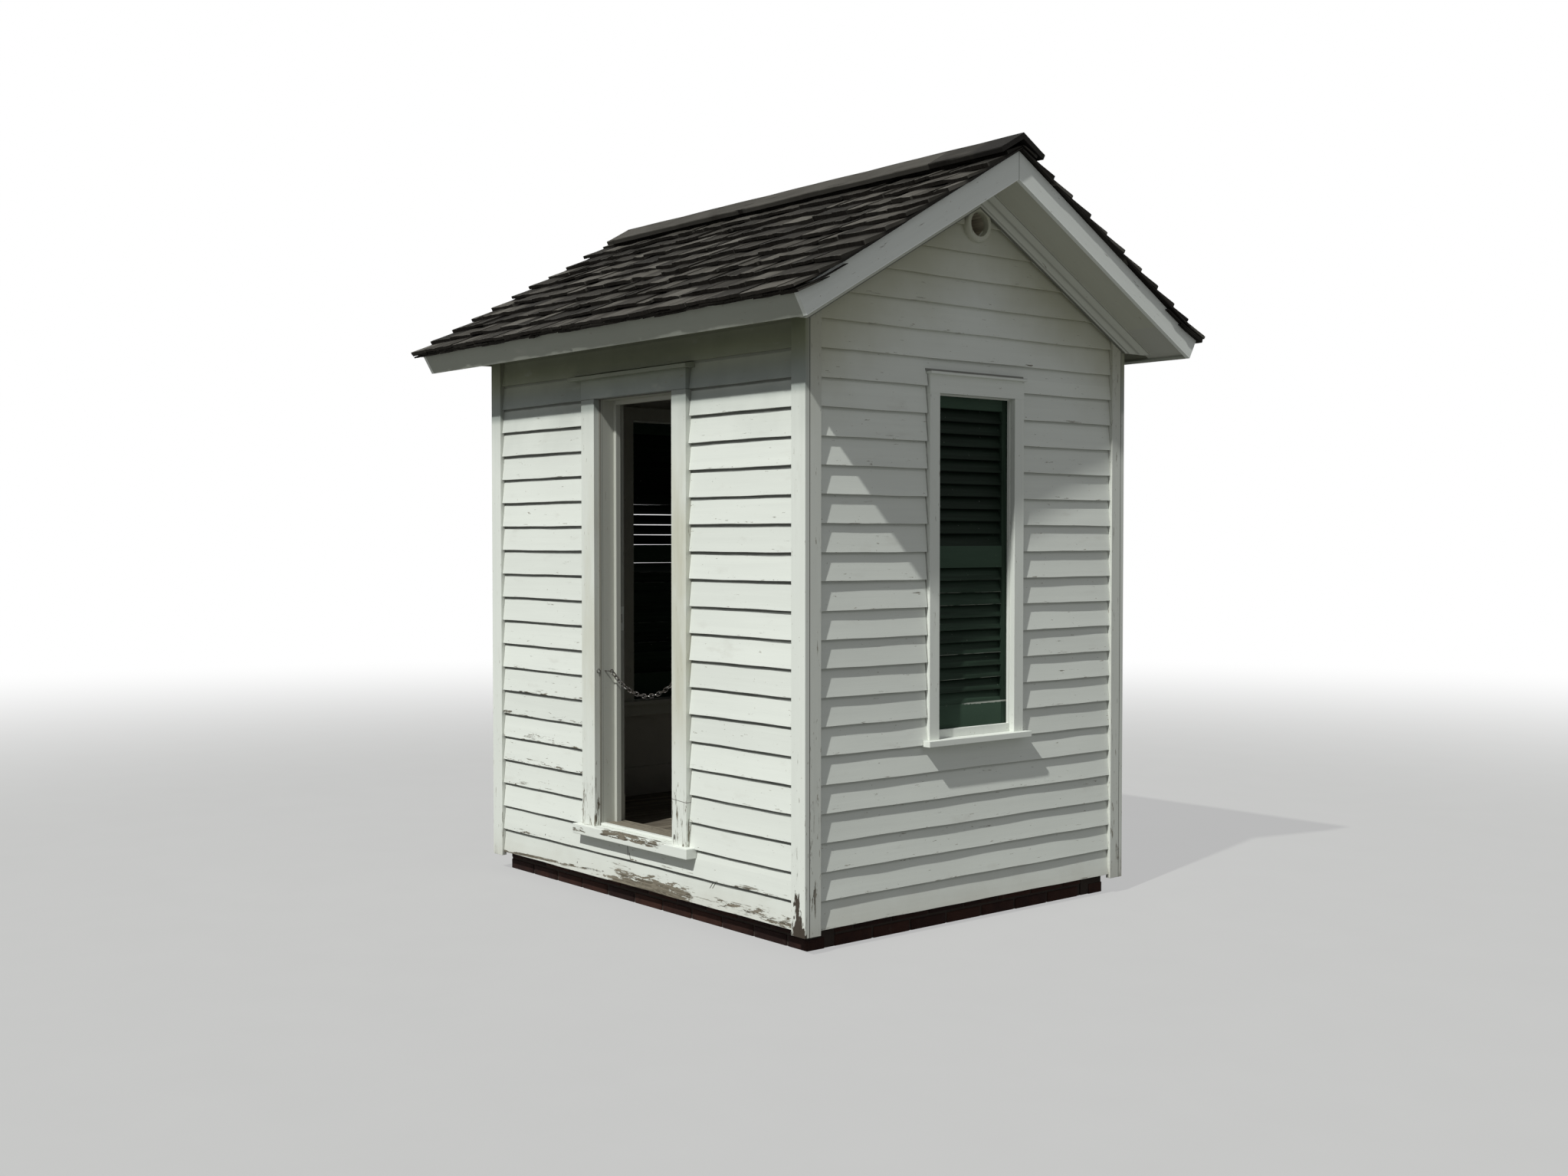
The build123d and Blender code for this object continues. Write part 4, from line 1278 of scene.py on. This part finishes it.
# %% Ridge boards
ridge_wood = shake_finish("weathered_ridge_boards", (0.009, 0.008, 0.007), (0.050, 0.046, 0.039),
                          (0.088, 0.083, 0.073), dark_end=True)
ridge_low, ridge_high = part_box("ridge_cap")
cap_run = (ridge_high[1] - 0.165 * sin_pitch) / cos_pitch
cap_foot = 0.1405
cap_edge = 0.1605
cap_face = 0.164
ridge_boards = Boards()
ridge_chance = random.Random(8)
for side in (-1, 1):
    joint = ridge_high[0] - (0.42 if side < 0 else 0.95)
    for x0, x1 in ((ridge_low[0], joint - 0.001), (joint + 0.001, ridge_high[0])):
        shift = ridge_chance.uniform(0, 9)
        count = max(4, math.ceil((x1 - x0) / 0.05))
        wander = [ridge_chance.uniform(-0.0045, 0.0) for _ in range(count + 1)]
        rings = []
        for station in range(count + 1):
            x = x0 + (x1 - x0) * station / count
            foot = cap_run + wander[station] + 0.003 * math.sin(x * 5.3 + shift) - 0.003
            dip = 0.0010 * math.sin(x * 9 + side) - 0.0012
            outline = [(0.0, cap_foot), (foot, cap_foot), (foot, cap_edge + dip)]
            outline += [(foot - 0.003, cap_face + dip), (foot * 0.5, cap_face - 0.0008 + dip)]
            outline += [(0.0, cap_face + dip)]
            ring = []
            for run, offset in outline:
                place = roof_point(x, run, offset, side)
                if run == 0.0:
                    place = (x, side * 0.0003, ridge + offset / cos_pitch)
                ring.append((place, (x + shift, run, shift), cap_run - run if offset > 0.15 else 0.06))
            rings.append(ring)
        ridge_boards.loft(rings, ridge_chance.uniform(0.3, 0.9))
ridge_boards.piece("ridge_boards", ridge_wood, "weathered_shingles", "ridge_cap")

# %% [markdown]
# ## Bricks
# The footing shows only two low courses, and the lower one stands partly in the ground. Each brick
# is 203 mm long and 57 mm high, with worn edges, in a running bond with 10 mm joints. The mortar is
# one strip per wall, set back a little from the face of the bricks.


# %% Brick and mortar
def brick_finish():
    finish = Finish("dark_brick")
    place = object_place(finish)
    tint = note(finish, "tint")
    grit = finish.noise(place, 160.0, 4.0, 0.7)
    clouds = finish.noise(place, 14.0, 4.0)
    shade = finish.step(clouds * 0.6 + tint * 0.4, 0.3, 0.7)
    # The brick colours are very dark: the bricks' red-brown, darkened as painted shade of the siding over
    # the footing.
    colour = finish.blend((0.014, 0.006, 0.005), (0.040, 0.017, 0.012), shade)
    colour = finish.blend(colour, (0.012, 0.009, 0.008), finish.step(grit, 0.56, 0.70) * 0.7)
    dust = finish.step(finish.noise(place, 22.0, 5.0), 0.62, 0.78)
    colour = finish.blend(colour, (0.10, 0.08, 0.065), dust * 0.30)
    return finish.surface(colour, 0.90, grit * 1.2 + clouds * 1.5)


def mortar_finish():
    finish = Finish("old_mortar")
    place = object_place(finish)
    sand = finish.noise(place, 260.0, 3.0, 0.7)
    clouds = finish.noise(place, 18.0, 3.0)
    colour = finish.blend((0.026, 0.018, 0.015), (0.060, 0.048, 0.040), sand * 0.6 + clouds * 0.4)
    return finish.surface(colour, 0.94, sand * 1.4 + clouds * 1.2)


brick_clay_and_painted_shade = brick_finish()
mortar = mortar_finish()
brick_long, brick_high, brick_deep, joint_wide = 0.203, 0.057, 0.092, 0.010
print("bricks of", brick_long, "by", brick_high, "m with joints of", joint_wide, "m")

# %% [markdown]
# ## One brick and its bed
# A brick is a loft along the wall whose first and last rings are drawn in, which gives worn ends.
# Its face and its edges differ a little from brick to brick. The bed of mortar is one long loft
# with a face that isn't quite flat.


# %% A brick and a bed
footing_low, footing_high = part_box("foundation_front_and_back")
footing_top = footing_high[2]
bed_deep = 0.148
bed_inset = 0.0045


def brick(bricks, chance, one, two, low, high, at):
    """A brick from one to two. At gives a point for a place along, a depth and a height."""
    face = chance.uniform(0.0, 0.0015)
    soft = chance.uniform(0.002, 0.004)
    shift = chance.uniform(0, 9)
    rings = []
    stations = [one, one + 0.004] + [one + (two - one) * k / 5 for k in range(1, 5)]
    stations += [two - 0.004, two]
    for station, place in enumerate(stations):
        at_end = station in (0, len(stations) - 1)
        inset = 0.0025 if at_end else chance.uniform(0, 0.0008)
        belly = face + inset + chance.uniform(0, 0.0006)
        outline = [(brick_deep, low), (face + soft, low + inset * 0.3), (face + inset, low + soft)]
        outline += [(belly, (low + high) / 2), (face + inset, high - soft)]
        outline += [(face + soft, high - inset * 0.3), (brick_deep, high)]
        rings.append([(at(place, depth, z), (place, z, shift), 0.05) for depth, z in outline])
    bricks.loft(rings, chance.random())


def mortar_bed(beds, chance, start, end, at):
    """The mortar of a whole wall, 3 mm short of it at both ends."""
    count = math.ceil((end - start) / 0.03)
    rings = []
    for station in range(count + 1):
        place = start + 0.003 + (end - start - 0.006) * station / count
        outline = [(bed_deep, 0.001), (bed_inset + chance.uniform(0, 0.002), 0.001)]
        outline += [(bed_inset + chance.uniform(0, 0.002), footing_top * k / 4) for k in (1, 2, 3)]
        outline += [(0.005, footing_top - 0.001), (bed_deep, footing_top - 0.001)]
        rings.append([(at(place, depth, z), (place, z, 0.0), 0.05) for depth, z in outline])
    beds.loft(rings, 0.5)


print("footing up to", round(footing_top, 4), "m")

# %% [markdown]
# ## Courses of brick
# Two courses stand on the ground, the upper one half a brick over. A brick that would be shorter
# than 30 mm at the end of a wall is left to the mortar. The long walls run through, and the short
# ones fit between them.


# %% Lay the bricks
def lay(name, node, walls, seed):
    """Walls hold (start, end, at)."""
    bricks = Boards()
    beds = Boards()
    chance = random.Random(seed)
    rows = [(0.0, footing_top - brick_high - joint_wide), (footing_top - brick_high, footing_top)]
    for start, end, at in walls:
        for row, (low, high) in enumerate(rows):
            u = start - (0.5 * (brick_long + joint_wide) if row % 2 else 0.0)
            while u < end:
                one, two = max(u, start), min(u + brick_long, end)
                u += brick_long + joint_wide
                if two - one >= 0.03:
                    brick(bricks, chance, one, two, low, high, at)
        mortar_bed(beds, chance, start, end, at)
    bricks.piece(name + "_bricks", brick_clay_and_painted_shade, "brick", node)
    beds.piece(name + "_mortar", mortar, "brick", node)


footing_left, footing_right, footing_y = footing_low[0], footing_high[0], footing_low[1]
front_walls = [(footing_left, footing_right, lambda u, d, z: (u, footing_y + d, z)),
               (footing_left, footing_right, lambda u, d, z: (u, -footing_y - d, z))]
side_end = -footing_y - 0.150
side_walls = [(-side_end, side_end, lambda u, d, z: (footing_right - d, u, z)),
              (-side_end, side_end, lambda u, d, z: (footing_left + d, u, z))]
lay("long_footing", "foundation_front_and_back", front_walls, 61)
lay("side_footing", "foundation_sides", side_walls, 62)

# %% [markdown]
# ## Louvred shutters
# Behind each window opening stands a tall shutter: two stiles, three rails and two fields of eleven
# fixed slats that slope down to the outside. The solids have them as one piece, and its box gives
# the levels of the rails here.

# %% Levels of a shutter
shutter_low, shutter_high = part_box("window_shutters")
shutter_outer = shutter_high[0]
shutter_thick = 0.032
stile = 0.036
slat_count = 11
slat_pitch = 0.0525
field_high = slat_count * slat_pitch
bottom_rail_top = shutter_low[2] + 0.135
middle_rail_low = bottom_rail_top + field_high
middle_rail_top = middle_rail_low + 0.093
top_rail_low = middle_rail_top + field_high
print("rails at", [round(z, 3) for z in (bottom_rail_top, middle_rail_low, middle_rail_top, top_rail_low)])

# %% [markdown]
# ## Dark green paint
# The paint is a green so dark that it is nearly black in the shade. It has chalked a little, and
# its thin edges are rubbed pale, which is wear and also a painted highlight. The near shutter was
# repaired: its bottom rail has a newer, lighter patch, a seam beside it, and a top edge worn to the
# primer.


# %% Green paint
repair_green = (0.050, 0.084, 0.060)
primer = (0.36, 0.38, 0.34)
rubbed_green_and_highlight = (0.26, 0.29, 0.25)


def repaired(finish, colour, place):
    """The patch, the seam and the worn top edge on the bottom rail of the near shutter."""
    x, y, z = split(finish, place)
    near = x > 1.0
    patch = line(finish, y, 0.045, 0.152) * line(finish, z, shutter_low[2] + 0.071, 0.052) * near
    colour = finish.blend(colour, repair_green, patch * 0.35)
    seam = line(finish, z, shutter_low[2] + 0.027, 0.0014) * (y < -0.10) * near
    colour = finish.blend(colour, (0.004, 0.006, 0.004), seam * 0.9)
    ragged = finish.noise(place, 60.0, 4.0)
    top = finish.step(z + ragged * 0.012, bottom_rail_top + 0.0005, bottom_rail_top + 0.0025)
    top = top * finish.step(z, bottom_rail_top + 0.0030, bottom_rail_top + 0.0015)
    top = top * finish.step(y + ragged * 0.05, -0.03, 0.02) * near
    return finish.blend(colour, primer, top * 0.85)


def green_finish(name, deep, face):
    finish = Finish(name)
    grain = grain_place(finish, "board")
    place = object_place(finish)
    streaks = finish.noise(grain * (3.0, 70.0, 70.0), 1.0, 4.0)
    shade = finish.step(streaks * 0.5 + note(finish, "tint") * 0.5, 0.2, 0.8)
    chalk = finish.step(finish.noise(place, 9.0, 4.0), 0.45, 0.75)
    colour = finish.blend(finish.blend(deep, face, shade), (0.036, 0.060, 0.042), chalk * 0.12)
    colour = repaired(finish, colour, place)
    rub_noise = finish.noise(grain * (9.0, 40.0, 40.0), 1.0, 4.0)
    # Pale edges: wear, and also a painted highlight on the slats of the lower fields.
    rubs = finish.step(note(finish, "edge"), 0.0024, 0.0010) * finish.step(rub_noise, 0.40, 0.52)
    colour = finish.blend(colour, rubbed_green_and_highlight, rubs * 0.85)
    dust = finish.step(finish.noise(grain * (60.0, 60.0, 60.0), 1.0, 2.0), 0.72, 0.76)
    colour = finish.blend(colour, (0.20, 0.21, 0.18), dust * 0.5)
    relief = streaks * 0.35 + finish.noise(place, 60.0, 2.0) * 0.2 - rubs * 0.25
    return finish.surface(colour, chalk * 0.10 + 0.55, relief, gloss=0.05)


green_paint = green_finish("dark_green_paint", (0.006, 0.011, 0.007), (0.037, 0.064, 0.044))
print("green paint made, with the repair under", round(bottom_rail_top, 3), "m")

# %% [markdown]
# ## A bar with eased edges
# Stiles, rails and slats are all straight bars, and the light on their thin edges is what one sees
# first. So a bar has the section of a rounded rectangle. It may bow a little, and its note of the
# edge says how much paint the edges kept.


# %% A bar
def rounded(half_wide, half_high, soft, count=3):
    """Corners of a rounded rectangle, as (across, up) points."""
    points = []
    for turn, (sign_u, sign_v) in enumerate(((1, 1), (-1, 1), (-1, -1), (1, -1))):
        for k in range(count):
            angle = math.pi / 2 * (turn + k / (count - 1))
            points.append((sign_u * (half_wide - soft) + soft * math.cos(angle),
                           sign_v * (half_high - soft) + soft * math.sin(angle)))
    return points


def bar(boards, start, end, across, up, wide, high, soft, tint, bow=0.0, steps=6, shift=0.0, kept=0.003):
    """A straight bar with eased edges. Across and up are unit directions of its section.
    Kept says how much paint its edges kept: 0 is rubbed pale, wear with a painted highlight."""
    length = math.dist(start, end)
    rings = []
    for station in range(steps + 1):
        share = station / steps
        sag = bow * math.sin(math.pi * share)
        ring = []
        for u, v in rounded(wide / 2, high / 2, soft):
            point = tuple(start[i] + (end[i] - start[i]) * share + across[i] * u + up[i] * (v + sag)
                          for i in range(3))
            ring.append((point, (share * length + shift, u + shift, v), wide / 2 - abs(u) + kept))
        rings.append(ring)
    boards.loft(rings, tint)


print("a bar has", len(rounded(0.03, 0.003, 0.0026)), "points round its section")

# %% [markdown]
# ## Slats
# The slats of the right shutter all hang alike. Six of the left one have slipped and lie flatter,
# one of them less than the rest, and daylight falls through there. The lower slats of both
# shutters are rubbed unevenly on their edges, partly wear and partly a painted highlight, and
# paint_kept names those that are rubbed most. The upper slats keep dark edges and get darker
# tints, as painted shade.


# %% Slats
slat_wide, slat_thick, slat_soft = 0.0600, 0.0058, 0.0026
paint_kept = {2: 0.0004, 4: 0.0, 8: 0.0005, 9: 0.0008}
half_slipped = 4


def slat_tilt(outward, is_upper, number):
    """Degrees that a slat hangs down from level."""
    if outward > 0:
        return 66.0
    if is_upper and number == half_slipped:
        return 57.2
    if is_upper and number < half_slipped or not is_upper and number == slat_count - 1:
        return 53.6
    return 70.0


def slat(boards, chance, middle_x, inner, outward, base, number):
    """One slat of the field that starts at the height base."""
    is_upper = base == middle_rail_top
    tilt = math.radians(slat_tilt(outward, is_upper, number)) + chance.uniform(-0.006, 0.006)
    along = (outward * math.cos(tilt), 0, -math.sin(tilt))
    upward = (outward * math.sin(tilt), 0, math.cos(tilt))
    z = base + slat_pitch * (number + 0.5) + chance.uniform(-0.0008, 0.0008)
    start = (middle_x, -inner - 0.006, z)
    end = (middle_x, inner + 0.006, z + chance.uniform(-0.0008, 0.0008))
    # Painted shade: the upper field's slats get low tints, so their green is darker.
    tint = chance.uniform(0.0, 0.10) if is_upper else chance.uniform(0.30, 0.70)
    kept = 0.003 if is_upper else paint_kept.get(number, 0.0018)
    bar(boards, start, end, along, upward, slat_wide, slat_thick, slat_soft, tint,
        chance.uniform(-0.001, 0.001), 10, chance.uniform(0, 9), kept)


print("slats hang", slat_tilt(1, False, 0), "degrees from level on the right shutter")

# %% [markdown]
# ## Two shutters
# Both shutters come from one function. Outward says which way a shutter faces, and the rails and
# slats run a few millimetres into their stiles, as they would in mortices.


# %% Stiles, rails and slats
def shutter(boards, outer_x, outward, seed):
    """Outward is 1 where +X faces outdoors, and -1 on the other gable."""
    chance = random.Random(seed)
    half = shutter_high[1]
    low, high = shutter_low[2], shutter_high[2]
    middle_x = outer_x - outward * shutter_thick / 2
    inner = half - stile
    for side in (-1, 1):
        y = side * (half - stile / 2)
        bar(boards, (middle_x, y, low), (middle_x, y, high), (0, 1, 0), (1, 0, 0), stile,
            shutter_thick, 0.0025, 0.45, steps=24, shift=side * 3.0)
    rails = [(low, bottom_rail_top), (middle_rail_low, middle_rail_top), (top_rail_low, high)]
    for rail_low, rail_high in rails:
        z = (rail_low + rail_high) / 2
        bar(boards, (middle_x, -inner - 0.004, z), (middle_x, inner + 0.004, z), (0, 0, 1), (1, 0, 0),
            rail_high - rail_low, shutter_thick - 0.001, 0.002, 1.0, steps=8, shift=z)
    for base in (bottom_rail_top, middle_rail_top):
        for number in range(slat_count):
            slat(boards, chance, middle_x, inner, outward, base, number)


shutters = Boards()
shutter(shutters, shutter_outer, 1, 71)
shutter(shutters, 2 * x_middle - shutter_outer, -1, 72)
shutters.piece("louvred_shutters", green_paint, "green_painted_wood", "window_shutters")

# %% [markdown]
# ## Iron
# The chain and its eyes are plain wire that has rusted to a dark brown, rubbed brighter where the
# links work on each other. The links of the solids are round enough to keep, so they only get a
# weld and the rust. The strike plate was painted over with its jamb, and takes the white.


# %% Rusty iron
def iron_finish():
    finish = Finish("rusty_iron")
    place = object_place(finish)
    pits = finish.noise(place, 420.0, 4.0, 0.65)
    patches = finish.noise(place, 90.0, 3.0)
    colour = finish.blend((0.035, 0.031, 0.028), (0.095, 0.078, 0.062), finish.step(patches, 0.50, 0.75))
    bright = finish.step(patches + pits * 0.3, 0.62, 0.52)
    colour = finish.blend(colour, (0.46, 0.45, 0.43), bright * 0.7)
    return finish.surface(colour, 0.70 - bright * 0.30, pits * 0.12, bright * 0.8)


iron = iron_finish()
iron_pieces = ("door_chain", "chain_eyes")
for node in iron_pieces:
    weld(dress(node, iron, 0))
dress("door_strike_plate", paint_z, 0.0004)
print("iron on", " and ".join(iron_pieces))

# %% [markdown]
# ## A plain floor
# The building stands on a plain pale floor that fades to white far away, where it meets a white
# sky. The white of both is seen by the camera alone, so it throws no extra light on the walls. The
# floor lies half a millimetre under the footing and isn't a part of the building.


# %% A plain floor
def studio_floor():
    finish = Finish("pale_floor")
    place = object_place(finish)
    x, y, z = split(finish, place)
    far = finish.step((x * x + y * y) ** 0.5, 4.0, 16.0)
    grain = finish.noise(place, 3.0, 3.0)
    colour = finish.blend((0.18, 0.18, 0.17), (0.21, 0.21, 0.20), grain)
    near = finish.node("BsdfDiffuse", {}, {"Color": colour})
    white = finish.node("Emission", {}, {"Color": 1.0, "Strength": 1.0})
    mixed = finish.node("MixShader", {}, {0: (far * 0.54 + 0.46) * finish.seen(), 1: near, 2: white})
    finish.node("OutputMaterial", {}, {"Surface": mixed})
    return finish


floor_mesh = bpy.data.meshes.new("studio_floor")
reach = 60.0
floor_mesh.from_pydata([(-reach, -reach, 0), (reach, -reach, 0), (reach, reach, 0), (-reach, reach, 0)],
                       [], [(0, 1, 2, 3)])
studio = bpy.data.objects.new("studio_floor", floor_mesh)
studio.data.materials.append(studio_floor().material)
studio.location.z = -0.0005
bpy.context.scene.collection.objects.link(studio)
print("studio floor", 2 * reach, "m wide")

# %% [markdown]
# ## Light
# One sun stands high in front of the doorway, a little to the right. It throws the shadows of the
# eave and of every butt, and its disc is wider than the real one, so they are soft. A pale blue sky
# fills the rest evenly, and the camera sees it as white.

# %% Light
world = bpy.data.worlds.new("plain_sky")
bpy.context.scene.world = world
sky = Finish("plain_sky", world)
fill = sky.node("Background", {}, {"Color": (0.93, 0.96, 1.0), "Strength": 0.32})
backdrop = sky.node("Background", {}, {"Color": 1.0, "Strength": 1.0})
sky.node("OutputWorld", {}, {"Surface": sky.node("MixShader", {}, {0: sky.seen(), 1: fill, 2: backdrop})})

sun = bpy.data.objects.new("sun", bpy.data.lights.new("sun", "SUN"))
sun.data.energy = 3.35
sun.data.angle = math.radians(1.3)
sun.data.color = (0.985, 1.0, 0.965)
sun.rotation_euler = (math.radians(40.7), 0, math.radians(14.65))
bpy.context.scene.collection.objects.link(sun)
print("sun", round(90 - math.degrees(sun.rotation_euler[0]), 1), "degrees over the ground")

# %% [markdown]
# ## Camera
# The camera stands off the right front corner at the height of an eye, and looks down by a degree
# and a half. Its place, its direction and its lens were solved from the edges of the building in
# the picture. The colours are shown as they are, with no film curve over them.

# %% Camera
camera = bpy.data.objects.new("camera", bpy.data.cameras.new("camera"))
camera.data.sensor_width = 36.0
camera.data.lens = 38.84
camera.data.clip_end = 200.0
camera.location = (6.1953, -5.2286, 1.6234)
camera.rotation_euler = (math.radians(90 - 1.61), 0, math.radians(50.07))
bpy.context.scene.collection.objects.link(camera)
bpy.context.scene.camera = camera
bpy.context.scene.view_settings.view_transform = "Standard"
print("camera", round(camera.location.xy.length, 2), "m from the middle of the building")
